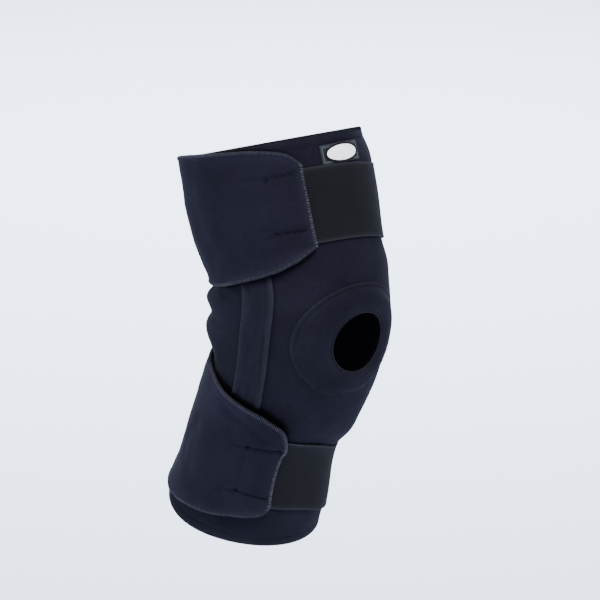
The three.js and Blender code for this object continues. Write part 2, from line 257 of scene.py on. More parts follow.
def srgb(code: str) -> tuple[float, float, float, float]:
    """Linear colour of an sRGB hex value."""
    channels = [int(code[i : i + 2], 16) / 255 for i in (0, 2, 4)]
    linear = [c / 12.92 if c <= 0.04045 else ((c + 0.055) / 1.055) ** 2.4 for c in channels]
    return (*linear, 1.0)


def add(tree: Tree, kind: str, inputs: dict | None = None, **settings) -> bpy.types.Node:
    """Adds a shader node to a tree.

    Args:
        tree: The tree it goes into.
        kind: The node's type name, without its start "ShaderNode".
        inputs: A value or an output socket for each input, by its name or number.
        **settings: The node's own properties.

    Returns:
        The new node.
    """
    node = tree.nodes.new("ShaderNode" + kind)
    for name, value in settings.items():
        setattr(node, name, value)
    for key, value in (inputs or {}).items():
        if isinstance(value, Socket):
            tree.links.new(value, node.inputs[key])
        else:
            node.inputs[key].default_value = value
    return node


def maths(tree: Tree, operation: str, *inputs: float | Socket) -> Socket:
    """Result of a math node."""
    return add(tree, "Math", dict(enumerate(inputs)), operation=operation).outputs[0]


def mapped(tree: Tree, value: Socket, source: tuple[float, float], target: tuple[float, float]) -> Socket:
    """A value brought from one range to another and held inside it."""
    return add(tree, "MapRange", {0: value, **dict(enumerate(source + target, 1))}).outputs[0]


def mixed(tree: Tree, share: float | Socket, first, second, blend: str = "MIX") -> Socket:
    """Two colours mixed."""
    inputs = {0: share, 6: first, 7: second}
    return add(tree, "Mix", inputs, data_type="RGBA", blend_type=blend).outputs[2]


def toned(tree: Tree, colour, value: Socket) -> Socket:
    """A colour made darker or lighter by a value."""
    grey = add(tree, "CombineColor", {0: value, 1: value, 2: value}).outputs[0]
    return mixed(tree, 1.0, colour, grey, "MULTIPLY")


def wave(tree: Tree, direction: str, vector: Socket, scale: float, **inputs: float) -> Socket:
    """Waves that follow one another in a direction."""
    named = {"Vector": vector, "Scale": scale, **inputs}
    return add(tree, "TexWave", named, bands_direction=direction).outputs["Fac"]


def clouds(tree: Tree, vector: Socket, scale: float, detail: float, roughness: float) -> Socket:
    """Smooth noise."""
    inputs = {"Vector": vector, "Scale": scale, "Detail": detail, "Roughness": roughness}
    return add(tree, "TexNoise", inputs).outputs["Fac"]


def blank_material(name: str) -> tuple[bpy.types.Material, Tree]:
    """A new material and its empty tree."""
    material = bpy.data.materials.new(name)
    material.use_nodes = True
    material.node_tree.nodes.clear()
    return material, material.node_tree


def surface(tree: Tree, height: Socket, depth: float, inputs: dict) -> None:
    """Ends a tree with a bumped surface.

    Args:
        tree: The material's tree.
        height: Height of the bumps, in shares of their depth.
        depth: The depth in metres.
        inputs: Inputs of the surface's shader.
    """
    bump = add(tree, "Bump", {"Height": height, "Distance": depth, "Strength": 1.0})
    shader = add(tree, "BsdfPrincipled", {**inputs, "Normal": bump.outputs[0]})
    add(tree, "OutputMaterial", {"Surface": shader.outputs[0]})


class Weave(Enum):
    """How the face of a cloth is made."""

    JERSEY = "wales and courses of a fine knit"
    PILE = "brushed loops"
    RIBBED = "woven ribs along the band"
    TWILL = "fine diagonal weave"
    SATIN = "long flat threads side by side"
    HOOKS = "moulded hooks in rows"


# Wave texture: its bands are this far apart at a scale of 1
WAVE_PERIOD = math.pi / 10
# How far the light line of a woven label lies inside its edge
FRAME_INSET = 1.7


@dataclass(frozen=True)
class ClothFinish:
    """One cloth, with its colours, its weave and how it takes the light."""

    name: str
    colour: str
    # Colour towards the edges: wear, and on the pocket's ridges a painted highlight
    worn_and_lit: str
    weave: Weave
    pitch: float
    depth: float
    roughness: float
    sheen: float
    fuzz: float = 0.05
    mottle: float = 0.18
    frame_size: tuple[float, float] | None = None
    # Painted glow: emission that makes the cloth brighter than its light allows
    painted_glow: float = 0.0
    # Black of the foam on cut edges, also painted as shade under and beside the wraps
    foam_and_shade_colour: str = ""

    def relief(self, tree: Tree, flat: Socket) -> Socket:
        """Height of the weave in shares of its depth, from the piece's flat cut in millimetres."""
        scale = WAVE_PERIOD / self.pitch
        if self.weave in (Weave.PILE, Weave.HOOKS):
            loose = self.weave is Weave.PILE
            inputs = {"Vector": flat, "Scale": 1.0 / self.pitch, "Randomness": 0.9 if loose else 0.15}
            apart = add(tree, "TexVoronoi", inputs).outputs["Distance"]
            return apart if loose else maths(tree, "SUBTRACT", 1.0, apart)
        if self.weave is Weave.JERSEY:
            parts = add(tree, "SeparateXYZ", {0: flat}).outputs
            zigzag = maths(tree, "PINGPONG", parts[0], self.pitch / 2)
            bent = add(tree, "CombineXYZ", {0: parts[0], 1: maths(tree, "ADD", parts[1], zigzag)})
            courses = wave(tree, "Y", bent.outputs[0], scale * 1.25)
            return maths(tree, "MULTIPLY", courses, wave(tree, "X", flat, scale))
        direction = {Weave.RIBBED: "Y", Weave.TWILL: "DIAGONAL", Weave.SATIN: "X"}[self.weave]
        ribs = wave(tree, direction, flat, scale, **{"Distortion": 0.6, "Detail": 1.0, "Detail Scale": 0.4})
        across = wave(tree, "X" if direction == "Y" else "Y", flat, scale * 1.7)
        return maths(tree, "MULTIPLY_ADD", across, 0.35, ribs)

    def make(self) -> bpy.types.Material:
        """Builds the cloth's material.

        Returns:
            The material, which reads the piece's flat cut (UV, in millimetres) and its edge attributes.
        """
        material, tree = blank_material(self.name)
        flat = add(tree, "UVMap", uv_map="flat").outputs[0]
        solid = add(tree, "TexCoord").outputs["Object"]
        fluff = clouds(tree, flat, 0.55, 5.0, 0.7)
        # Slow changes of tone where the cloth is stretched, and fluff that catches the light in specks
        stretch = clouds(tree, solid, 28.0, 3.0, 0.55)
        tone = mapped(tree, stretch, (0.3, 0.7), (1.0 - self.mottle, 1.0 + self.mottle))
        speck = mapped(tree, fluff, (0.35, 0.75), (0.86, 1.22))
        edge = add(tree, "Attribute", attribute_name="edge").outputs["Fac"]
        # Lighter towards the edge: wear, and a painted highlight on the pocket's ridges
        worn_and_lit = mixed(tree, edge, srgb(self.colour), srgb(self.worn_and_lit))
        colour = toned(tree, worn_and_lit, maths(tree, "MULTIPLY", tone, speck))
        fuzz = maths(tree, "MULTIPLY", fluff, self.fuzz)
        inputs = {
            "Base Color": self.foam_and_painted_shade(tree, self.framed(tree, flat, colour)),
            "Roughness": self.roughness,
            "IOR": 1.3,
            "Specular IOR Level": 0.1,
            "Sheen Weight": self.sheen,
            "Sheen Roughness": 0.45,
            "Sheen Tint": srgb("B9BCD8"),
            "Emission Color": srgb("F4F7FF"),
            # Emission here is a painted glow
            "Emission Strength": self.painted_glow,
        }
        surface(tree, maths(tree, "MULTIPLY_ADD", self.relief(tree, flat), self.depth, fuzz), MM, inputs)
        return material

    def foam_and_painted_shade(self, tree: Tree, colour: Socket) -> Socket:
        """Shows the black foam on the cut edge, and paints shade in that black on the cloth under and
        beside the wraps' edges.
        """
        if not self.foam_and_shade_colour:
            return colour
        dark = add(tree, "Attribute", attribute_name="dark").outputs["Fac"]
        return mixed(tree, dark, colour, srgb(self.foam_and_shade_colour))

    def framed(self, tree: Tree, flat: Socket, colour: Socket) -> Socket:
        """Draws a thin light line just inside the edge of a label.

        Args:
            tree: The material's tree.
            flat: The piece's flat cut, with its middle at 0.
            colour: The cloth's colour.

        Returns:
            The colour with the line in it, or as it was where the cloth has no such line.
        """
        if self.frame_size is None:
            return colour
        parts = add(tree, "SeparateXYZ", {0: flat}).outputs
        outside = [
            maths(tree, "SUBTRACT", maths(tree, "ABSOLUTE", parts[axis]), size / 2 - FRAME_INSET)
            for axis, size in enumerate(self.frame_size)
        ]
        off = maths(tree, "ABSOLUTE", maths(tree, "MAXIMUM", *outside))
        return mixed(tree, mapped(tree, off, (0.2, 0.5), (0.32, 0.0)), colour, srgb("7C8088"))


@dataclass(frozen=True)
class ThreadFinish:
    """Spun polyester thread: a twist that breaks up its soft shine."""

    name: str
    colour: str
    roughness: float
    twist: float = 0.35

    def make(self) -> bpy.types.Material:
        """Builds the thread's material, with its twist in Object coordinates."""
        material, tree = blank_material(self.name)
        solid = add(tree, "TexCoord").outputs["Object"]
        # The plies are about a third of a millimetre wide
        plies = wave(tree, "DIAGONAL", solid, WAVE_PERIOD / (self.twist * MM), Distortion=1.0)
        lint = mapped(tree, clouds(tree, solid, 260.0, 3.0, 0.5), (0.3, 0.7), (0.75, 1.3))
        inputs = {
            "Base Color": toned(tree, srgb(self.colour), lint),
            "Roughness": self.roughness,
            "IOR": 1.35,
            "Specular IOR Level": 0.15,
        }
        surface(tree, plies, 0.06 * MM, inputs)
        return material


# Nylon jersey laminated on foam rubber: a matt, faintly fuzzy navy black. The real knit has about
# 20 stitches to the centimetre, too fine to show, so it is drawn at a third of that.
SLEEVE_CLOTH = ClothFinish(
    "laminated_nylon_jersey", "1A1924", "21212A", Weave.JERSEY, 1.5, 0.1, 1.0, 0.03, fuzz=0.1, foam_and_shade_colour="040405"
)
# The same under the knee pad and on the pocket, a shade lighter where it is stretched thin; on the pocket
# the lighter edge colour paints a highlight along its ridges
PAD_CLOTH = ClothFinish(
    "padded_nylon_jersey", "1A1924", "21212B", Weave.JERSEY, 1.5, 0.1, 1.0, 0.03, fuzz=0.1
)
POCKET_CLOTH = ClothFinish(
    "stretched_nylon_jersey", "1B1A25", "2A2A35", Weave.JERSEY, 1.5, 0.1, 1.0, 0.04, fuzz=0.1, foam_and_shade_colour="040405"
)
# Brushed loop pile that hooks grip: softer and a little bluer than the jersey, with a pile of about 1 mm
WRAP_CLOTH = ClothFinish(
    "brushed_loop_laminate", "1A1925", "2A2936", Weave.PILE, 1.2, 0.12, 1.0, 0.05, fuzz=0.16, foam_and_shade_colour="040405"
)
# Woven elastic: rubber threads under polyester ribs, flatter and greyer than the neoprene
BAND_CLOTH = ClothFinish(
    "ribbed_elastic_webbing", "1B1B1F", "33343A", Weave.RIBBED, 1.4, 0.07, 0.9, 0.02, fuzz=0.03, mottle=0.08
)
# Nylon hook tape: stiff rows of hooks with a dull plastic shine
HOOK_TAPE = ClothFinish("nylon_hook_tape", "17181B", "232428", Weave.HOOKS, 1.5, 0.5, 0.55, 0.0, fuzz=0.0)
# The label: its width and height, and the oval's
LABEL = (38.0, 14.6)
BADGE = (30.6, 12.8)
# Woven label with a stitched line round it
LABEL_CLOTH = ClothFinish(
    "woven_label", "292B30", "34373C", Weave.TWILL, 0.9, 0.06, 0.8, 0.1, 0.02, mottle=0.06, frame_size=LABEL
)
# Black satin stitch round the badge
RING_CLOTH = ClothFinish(
    "black_satin_stitch", "101114", "1B1C20", Weave.SATIN, 0.8, 0.08, 0.6, 0.1, fuzz=0.01, mottle=0.03
)
# White satin stitch, bare, with a painted glow that makes it give back more light than it catches
BADGE_CLOTH = ClothFinish(
    "white_satin_stitch", "F8F8F6", "F2F2EF", Weave.SATIN, 0.8, 0.06, 0.6, 0.15, 0.01, 0.03, painted_glow=1.05
)
EDGE_THREAD = ThreadFinish("overcast_thread_slate", "444450", 0.8)
END_THREAD = ThreadFinish("overcast_thread_grey", "50525A", 0.8)
SEAM_THREAD = ThreadFinish("seam_thread_black", "0A0A0E", 0.9)
HEM_THREAD = ThreadFinish("hem_thread_navy", "16161E", 0.9)


@dataclass
class Cloths:
    """Makes each material once."""

    made: dict[str, bpy.types.Material] = field(default_factory=dict)

    def of(self, finish: ClothFinish | ThreadFinish) -> bpy.types.Material:
        """The material of a finish."""
        if finish.name not in self.made:
            self.made[finish.name] = finish.make()
        return self.made[finish.name]


def to_object(bm: bmesh.types.BMesh, name: str, material: bpy.types.Material) -> bpy.types.Object:
    """Turns a finished bmesh in millimetres into a smooth object in metres.

    Args:
        bm: The mesh, which is freed.
        name: The piece's name.
        material: Its only material.

    Returns:
        The object, at the origin.
    """
    bmesh.ops.scale(bm, vec=(MM, MM, MM), verts=bm.verts)
    for face in bm.faces:
        face.smooth = True
    mesh = bpy.data.meshes.new(name)
    bm.to_mesh(mesh)
    bm.free()
    mesh.materials.append(material)
    piece = bpy.data.objects.new(name, mesh)
    bpy.context.scene.collection.objects.link(piece)
    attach(piece, "root")
    log.info("%s: %d faces", name, len(mesh.polygons))
    return piece


def grid(columns: int, rows: int) -> tuple[bmesh.types.BMesh, Array, Array]:
    """Starts a bmesh from a flat grid.

    Args:
        columns: Cells along X.
        rows: Cells along Y.

    Returns:
        The bmesh, and each vertex's column and row number.
    """
    bm = bmesh.new()
    bmesh.ops.create_grid(bm, x_segments=columns, y_segments=rows, size=1.0)
    places = np.array([v.co[:2] for v in bm.verts])
    column = np.unique(places[:, 0].round(6), return_inverse=True)[1]
    row = np.unique(places[:, 1].round(6), return_inverse=True)[1]
    return bm, column, row


def set_places(bm: bmesh.types.BMesh, x: Array, y: Array) -> None:
    """Moves every vertex of a bmesh to a flat place."""
    for vert, *place in zip(bm.verts, x.tolist(), y.tolist()):
        vert.co = (*place, 0.0)


def rectangle(
    cells: tuple[int, int], size: tuple[float, float], insets: Sequence[float], left: float | None = None
) -> bmesh.types.BMesh:
    """A rectangular cut whose rows and columns lie close together at its edges.

    Args:
        cells: How many cells it has along X and along Y.
        size: Its width and height.
        insets: Distances of the first rows from an edge, rising from 0.
        left: X of its left edge, or none for a rectangle round 0. It lies round 0 along Y.

    Returns:
        The cut.
    """
    bm, column, row = grid(*cells)
    xs = graded(cells[0] + 1, size[0], insets)[:, 0] + (-size[0] / 2 if left is None else left)
    ys = graded(cells[1] + 1, size[1], insets)[:, 0] - size[1] / 2
    set_places(bm, xs[column], ys[row])
    return bm


def segment_distance(points: Array, segments: Array) -> Array:
    """Distance of flat points to the nearest of many segments.

    Args:
        points: One point a row.
        segments: For each segment its two ends.

    Returns:
        The distance of each point.
    """
    start, run = segments[:, 0], segments[:, 1] - segments[:, 0]
    size = np.maximum((run**2).sum(1), 1e-12)
    nearest = np.full(len(points), np.inf)
    batch = 4000
    for begin in range(0, len(points), batch):
        offset = points[begin : begin + batch][:, None] - start[None]
        share = np.clip((offset * run).sum(2) / size, 0.0, 1.0)
        nearest[begin : begin + batch] = lengths(offset - share[..., None] * run).min(1)
    return nearest


def polyline(points: Sequence[Sequence[float]]) -> Array:
    """Segments between the points of an open line."""
    line = np.asarray(points, float)
    return np.stack([line[:-1], line[1:]], 1)


def spread(points: Array, step: float, closed: bool = False) -> tuple[Array, Array]:
    """Puts points at even distances along a line.

    Args:
        points: Corners of the line.
        step: The distance aimed at.
        closed: Whether the line runs back to its start.

    Returns:
        The points, and the line's direction at each.
    """
    line = np.vstack([points, points[:1]]) if closed else points
    reach = np.concatenate([[0.0], np.cumsum(lengths(np.diff(line, axis=0)))])
    count = max(int(round(reach[-1] / step)), 1)
    at = (np.arange(count) + 0.5) * reach[-1] / count
    probe = 0.4

    def read(where: Array) -> Array:
        where = where % reach[-1] if closed else np.clip(where, 0.0, reach[-1])
        return np.stack([np.interp(where, reach, line[:, k]) for k in (0, 1)], 1)

    return read(at), unit(read(at + probe) - read(at - probe))


@dataclass(frozen=True)
class Crease:
    """A soft crease along a line of places (s, degrees); a negative depth makes a raised fold."""

    line: tuple[tuple[float, float], ...]
    depth: float
    width: float = 1.8


# Small gap between layers that lie on each other
LAYER_GAP = 0.5
WRAP_WALL = 3.0
BAND_WALL = 1.5
HOOK_WALL = 1.0
LABEL_WALL = 1.0
# Angle on the inner side, past the back, where both wraps are sewn to the sleeve
ROOT_ANGLE = 256.0
# Closest rows to the edge of a cloth, so that the edge is round: thick cloth, thin cloth, small patches
EDGE_ROWS = (0.0, 0.12, 0.42, 0.9, 1.6)
THIN_ROWS = (0.0, 0.1, 0.35, 0.8)
PATCH_ROWS = (0.0, 0.1, 0.3)
# The opening for the knee cap and the pad round it: the middle, and the widths and heights
OPENING_S = -1.0
OPENING_ANGLE = 3.2
OPENING = np.array([47.0, 46.0])
PAD = np.array([110.0, 90.0])
LABEL_ANGLE = -2.5


@dataclass(frozen=True)
class Band:
    """Where an elastic band lies: its middle, its width, where it starts and ends, and how it sinks.

    A row of sinks is an angle and a share of the width. The neck is the share of its width that it loses.
    """

    s: float
    width: float
    start: float
    sinks: tuple[tuple[float, float], ...]
    end: float = -138.0
    neck: float = 0.0

    def middle(self, degrees: Array) -> Array:
        """s of the band's middle at an angle."""
        return self.s - self.width * through(np.array(self.sinks, float), 1, degrees)

    def share(self, degrees: Array) -> Array:
        """Share of its width that the pulled band keeps at an angle."""
        return 1.0 - self.neck * ease(-degrees, -20.0, 45.0)

    def rim(self, degrees: Array, side: int) -> Array:
        """s of the band's top edge (1) or bottom edge (-1) at an angle."""
        return self.middle(degrees) + side * self.width / 2 * self.share(degrees)


UPPER_SINKS = ((-138, 0.16), (-90, 0.16), (-40, 0.11), (0, 0.028), (50, 0))
UPPER_BAND = Band(82.006, 55.0, 51.0, UPPER_SINKS)
LOWER_SINKS = (
    (-138, 0.4), (-90, 0.4), (-50, 0.34), (-30, 0.25), (-15, 0.15), (2, 0.04), (22, 0), (50, 0)
)
LOWER_BAND = Band(-101.976, 60.0, 60.0, LOWER_SINKS, neck=0.1)


@dataclass(frozen=True)
class WrapPlan:
    """Where a wrap lies: its band, how far it reaches towards the knee and the hem, and its edges.

    A row of edges is an angle and, for the knee's and the hem's side, a share of the way from just beside
    the band out to the furthest reach.
    """

    band: Band
    knee: float
    hem: float
    per_degree: float
    edges: tuple[tuple[float, float, float], ...]
    margin: float = 2.0

    @property
    def front(self) -> float:
        """Angle of the wrap's end."""
        return float(self.edges[0][0])

    def edge(self, column: int, degrees: Array) -> Array:
        """s of the edge towards the knee (1) or the hem (2)."""
        half = (self.band.width / 2 + self.margin) * math.copysign(1.0, self.hem - self.knee)
        share = through(np.array(self.edges, float), column, degrees)
        start, end = ((self.band.s - half, self.knee), (self.band.s + half, self.hem))[column - 1]
        return start + (end - start) * share

    def span(self, degrees: Array) -> tuple[Array, Array]:
        """s of the wrap's bottom and top edge at angles."""
        ends = self.edge(1, degrees), self.edge(2, degrees)
        return np.minimum(*ends), np.maximum(*ends)

    def outside(self, s: Array, degrees: Array) -> Array:
        """Distance from the wrap, 0 below it."""
        low, high = self.span(degrees)
        past_end = np.maximum(self.front - degrees, degrees - ROOT_ANGLE) * self.per_degree
        return np.maximum(np.maximum(np.maximum(low - s, s - high), past_end), 0.0)


UPPER_EDGES = (
    (28, 0, 0), (30, 0.1, 0.17), (35, 0.22, 0.46), (42, 0.37, 0.64), (55, 0.57, 0.82), (75, 0.75, 0.96),
    (104, 0.95, 1.08), (135, 1, 1.08), (180, 0.95, 0.95), (ROOT_ANGLE, 0.35, 0.42),
)
UPPER_PLAN = WrapPlan(UPPER_BAND, 31.964, 131.0, 1.18, UPPER_EDGES)
LOWER_EDGES = (
    (31.5, -0.35, -0.16), (33, -0.05, -0.05), (35, 0.18, 0.03), (38, 0.46, 0.09), (41, 0.66, 0.13),
    (45, 0.8, 0.17), (58, 1.01, 0.28), (72, 1.08, 0.43), (90, 1.1, 0.6), (106, 1.11, 0.78),
    (125, 1.12, 0.9), (180, 1.03, 0.84), (ROOT_ANGLE, 0.3, 0.45),
)
LOWER_PLAN = WrapPlan(LOWER_BAND, -49.056, -168.0, 1.02, LOWER_EDGES)


@dataclass
class ClothPiece:
    """A piece of cloth that is cut flat and laid on the leg as a closed body with rounded edges.

    Its flat cut is in millimetres, X round the leg and Y up it. A piece says how it is cut, where a flat
    place lies on the leg, how high its underside lies over the sleeve's face and what stands out of it.
    """

    form: LegForm
    cloths: Cloths
    name: str = "cloth"
    node: str = ""
    slot: str = ""
    finish: ClothFinish = SLEEVE_CLOTH
    wall: float = 3.0
    per_degree: float = 1.1
    creases: tuple[Crease, ...] = ()
    edge_reach: float = 3.0
    curl: float = 0.0
    curl_reach: float = 5.0
    lie: float = LAYER_GAP
    under_wraps: bool = False
    shadow_reach: float = 1.7
    rim_lines: Array = field(init=False, repr=False)

    def cut(self) -> bmesh.types.BMesh:
        """The flat cut."""
        raise NotImplementedError

    def place(self, flat: Array) -> tuple[Array, Array]:
        """s and degrees of flat places: straight on the leg, if nothing else is said."""
        return flat[:, 1], -flat[:, 0] / self.per_degree

    def bed(self, s: Array, degrees: Array) -> Array:
        """Height of the underside over the sleeve's face."""
        return np.full(len(s), self.lie)

    def relief(self, flat: Array, solid: Array) -> Array:
        """How far the upper face stands out (above 0) or is sunk in, at flat places and their points."""
        return np.zeros(len(flat))

    def painted_wrap_shade(self, s: Array, degrees: Array) -> Array:
        """Painted shade: 1 below a wrap and fading out beside its edge, on a cloth that the wraps lie on.
        """
        if not self.under_wraps:
            return np.zeros(len(s))
        # From the front round the back, as the wraps run
        side = 120.0
        onward = turned(degrees, side) + side
        plans = (UPPER_PLAN, LOWER_PLAN)
        return np.maximum(*(bell(plan.outside(s, onward), self.shadow_reach) for plan in plans))

    def hemline(self, rim: Array) -> Array:
        """What stands out beside the edge, at distances from it."""
        return np.zeros(len(rim))

    def curled(self, rim: Array) -> Array:
        """How far the whole cloth is lifted beside its edge, at distances from it."""
        return self.curl * np.exp(-rim / self.curl_reach)

    def creased(self, flat: Array) -> Array:
        """Depth of the creases at flat places, with the cloth a little raised beside each."""
        height = np.zeros(len(flat))
        for crease in self.creases:
            line = [(-degrees * self.per_degree, s) for s, degrees in crease.line]
            apart = segment_distance(flat, polyline(line))
            height -= crease.depth * bell(apart, crease.width)
            height += 0.4 * crease.depth * bell(apart - 2.2 * crease.width, crease.width)
        return height

    def is_rim(self, edge: bmesh.types.BMEdge) -> bool:
        """Whether a boundary edge of the cut is an edge of the cloth too."""
        return edge.is_boundary

    def rims(self, bm: bmesh.types.BMesh) -> Array:
        """Segments of the cloth's edge in the flat cut."""
        return np.array([[v.co[:2] for v in e.verts] for e in bm.edges if self.is_rim(e)])

    def faces(self, flat: Array, rim: Array) -> tuple[Array, Array]:
        """Points of the upper and of the lower face.

        Args:
            flat: Flat places.
            rim: Their distances from the cloth's edge.

        Returns:
            For each place, the point on the upper face and the one on the lower face.
        """
        s, degrees = self.place(flat)
        half = self.wall / 2
        swell = np.sqrt(np.clip(1.0 - (1.0 - np.minimum(rim / half, 1.0)) ** 2, 0.0, 1.0))
        middle = self.bed(s, degrees) + self.curled(rim) + half
        relief = self.relief(flat, self.form.face(s, degrees)) + self.creased(flat) + self.hemline(rim)
        relief = relief * ease(rim, 0.0, half)
        upper = self.form.over(s, degrees, middle + half * swell + relief)
        return upper, self.form.over(s, degrees, middle - half * swell)

    def build(self) -> bpy.types.Object:
        """Cuts the cloth, gives it its thickness and lays it on the leg.

        Returns:
            The piece, which stands for its solid.
        """
        bm = self.cut()
        uv = bm.loops.layers.uv.new("flat")
        for face in bm.faces:
            for loop in face.loops:
                loop[uv].uv = loop.vert.co[:2]
        edge_layer, dark_layer = (bm.verts.layers.float.new(name) for name in ("edge", "dark"))
        flat = np.array([v.co[:2] for v in bm.verts])
        self.rim_lines = self.rims(bm)
        rim = segment_distance(flat, self.rim_lines)
        upper, lower = self.faces(flat, rim)
        # The foam is black a little way up from the middle of the cut edge and all the way below it; on the
        # sleeve and the pocket the same black is painted as shade under and beside the wraps
        bare = np.maximum(1.0 - ease(rim / self.wall, 0.05, 0.28), self.painted_wrap_shade(*self.place(flat)))
        bare_below = 1.0 - ease(rim / self.wall, 0.5, 0.9)
        tops = bm.verts[:]
        # Edge attribute: for worn edges and for the painted highlight on the pocket's ridges
        for vert, worn_and_lit in zip(tops, np.exp(-rim / self.edge_reach).tolist()):
            vert[edge_layer] = worn_and_lit
        copy = bmesh.ops.duplicate(bm, geom=tops + bm.edges[:] + bm.faces[:])
        bottoms = [copy["vert_map"][vert] for vert in tops]
        flipped = [e for e in copy["geom"] if isinstance(e, bmesh.types.BMFace)]
        bmesh.ops.reverse_faces(bm, faces=flipped)
        for verts, places, shades in ((tops, upper, bare), (bottoms, lower, bare_below)):
            for vert, place, shade in zip(verts, places.tolist(), shades.tolist()):
                vert.co = place
                vert[dark_layer] = shade
        bmesh.ops.remove_doubles(bm, verts=bm.verts, dist=1e-3)
        bmesh.ops.recalc_face_normals(bm, faces=bm.faces)
        piece = to_object(bm, self.name, self.cloths.of(self.finish))
        if self.node:
            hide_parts(self.node)
        return piece

    def outline(self) -> Array:
        """Corners of the flat cut's edge in order, for a cut with one edge."""
        bm = self.cut()
        rim = [e for e in bm.edges if self.is_rim(e)]
        links: dict[bmesh.types.BMVert, list[bmesh.types.BMVert]] = {}
        for edge in rim:
            a, b = edge.verts
            links.setdefault(a, []).append(b)
            links.setdefault(b, []).append(a)
        start = rim[0].verts[0]
        before, here, corners = None, start, []
        while not corners or here is not start:
            corners.append(here.co[:2])
            onward = [v for v in links[here] if v is not before]
            before, here = here, onward[0]
        line = np.array(corners)
        bm.free()
        return line

    def frames(self, flat: Array, along: Array, height: float, inward: Array | None = None) -> list[Matrix]:
        """Frames on the cloth for stitches.

        Args:
            flat: Flat places.
            along: The stitch line's direction at each.
            height: Height over the cloth's underside.
            inward: The side that the frame's X axis points to, or none for the left of along.

        Returns:
            A matrix for each place: X across the line, Y along it and Z out of the cloth.
        """
        left = np.stack([-along[:, 1], along[:, 0]], 1) if inward is None else inward
        probe = 0.4

        def lift(where: Array) -> Array:
            s, degrees = self.place(where)
            curl = self.curled(segment_distance(where, self.rim_lines))
            return self.form.over(s, degrees, self.bed(s, degrees) + curl + height)

        point = lift(flat)
        run = lift(flat + along * probe) - lift(flat - along * probe)
        across = lift(flat + left * probe) - lift(flat - left * probe)
        s, degrees = self.place(flat)
        out = unit(self.form.over(s, degrees, 1.0) - self.form.over(s, degrees, 0.0))
        run = unit(run - out * (run * out).sum(1)[:, None])
        side = np.cross(run, out)
        flip = np.where((side * across).sum(1) < 0, -1.0, 1.0)[:, None]
        matrices = []
        for p, x, y, z in zip(point, side * flip, run * flip, out):
            matrix = Matrix((x, y, z)).transposed().to_4x4()
            matrix.translation = Vector(p)
            matrices.append(matrix)
        return matrices


def inner_side(flat: Array, along: Array) -> Array:
    """Which way a cloth lies from points on its edge, as flat directions.

    The edge runs one way round, so the side of its middle is the same all along it.
    """
    apart = flat - flat.mean(0)
    area = (apart[:, 0] * along[:, 1] - apart[:, 1] * along[:, 0]).sum()
    return np.stack([-along[:, 1], along[:, 0]], 1) * (1.0 if area > 0 else -1.0)


def strand(path: Sequence[tuple[float, float, float]], radius: float) -> bmesh.types.BMesh:
    """A short thread along a path, with closed ends.

    Args:
        path: Points of its middle line.
        radius: The thread's radius.

    Returns:
        The thread's bmesh.
    """
    sides = 5
    bm = bmesh.new()
    ring = bmesh.ops.create_circle(bm, cap_ends=False, segments=sides, radius=radius)["verts"]
    points = [Vector(p) for p in path]
    ahead = [(b - a).normalized() for a, b in zip(points, points[1:])]
    turns = [ahead[0], *[(a + b).normalized() for a, b in zip(ahead, ahead[1:])], ahead[-1]]
    rings = []
    for point, turn in zip(points, turns):
        across = Vector((0.0, 1.0, 0.0)).cross(turn).normalized()
        frame = Matrix((across, turn.cross(across), turn)).transposed().to_4x4()
        frame.translation = point
        rings.append(frame)
    edges = bm.edges[:]
    bmesh.ops.transform(bm, matrix=rings[0], verts=ring)
    ends = [edges]
    for before, frame in zip(rings, rings[1:]):
        grown = bmesh.ops.extrude_edge_only(bm, edges=edges)["geom"]
        verts = [g for g in grown if isinstance(g, bmesh.types.BMVert)]
        edges = [g for g in grown if isinstance(g, bmesh.types.BMEdge)]
        bmesh.ops.transform(bm, matrix=frame @ before.inverted(), verts=verts)
        ends.append(edges)
    for end in (ends[0], ends[-1]):
        bmesh.ops.holes_fill(bm, edges=end, sides=sides)
    bmesh.ops.recalc_face_normals(bm, faces=bm.faces)
    return bm


def overcast(wall: float, reach: float, radius: float, slant: float) -> bmesh.types.BMesh:
    """One overcast stitch, from the upper face round the rounded edge, where it sinks into the foam.

    Args:
        wall: Thickness of what it goes round.
        reach: How far in from the edge it starts.
        radius: The thread's radius.
        slant: How far it leans along the edge.

    Returns:
        The stitch, with X into the cloth, Y along the edge and Z out of it, round a middle plane at 0.
    """
    half = wall / 2
    ring = half + radius * 0.7
    path = [(reach, slant, half - radius * 0.6), (reach - 0.5, slant * 0.9, half + radius * 0.55)]
    for step in range(4):
        turn = math.pi / 2 + math.pi * step / 6
        path.append((half + ring * math.cos(turn), slant * (0.45 - 0.15 * step), ring * math.sin(turn)))
    path.append((half * 0.7, -slant * 0.2, -half * 0.4))
    return strand(path, radius)


@dataclass(frozen=True)
class Lockstitch:
    """A thread that shows between two needle holes, and how deep it lies below the cloth's upper face."""

    pitch: float
    length: float
    width: float
    height: float
    sunk: float

    def shape(self) -> bmesh.types.BMesh:
        """One stitch, along Y."""
        bm = bmesh.new()
        bmesh.ops.create_uvsphere(bm, u_segments=6, v_segments=6, radius=0.5)
        lying = Matrix.Rotation(math.pi / 2, 3, "X")
        bmesh.ops.rotate(bm, cent=(0, 0, 0), matrix=lying, verts=bm.verts)
        bmesh.ops.scale(bm, vec=(self.width, self.length, self.height), verts=bm.verts)
        return bm


BOX_ROW_STITCH = Lockstitch(5.6, 4.9, 2.1, 0.7, 1.9)
BOX_SIDE_STITCH = Lockstitch(5.4, 3.8, 0.6, 0.5, 0.8)
BAND_STITCH = Lockstitch(3.4, 2.6, 0.7, 0.4, 0.1)
POCKET_STITCH = Lockstitch(3.0, 2.3, 0.55, 0.4, 0.3)
HEM_STITCH = Lockstitch(3.2, 2.5, 0.6, 0.45, 0.35)
PAD_STITCH = Lockstitch(3.1, 2.4, 0.6, 0.45, 0.5)
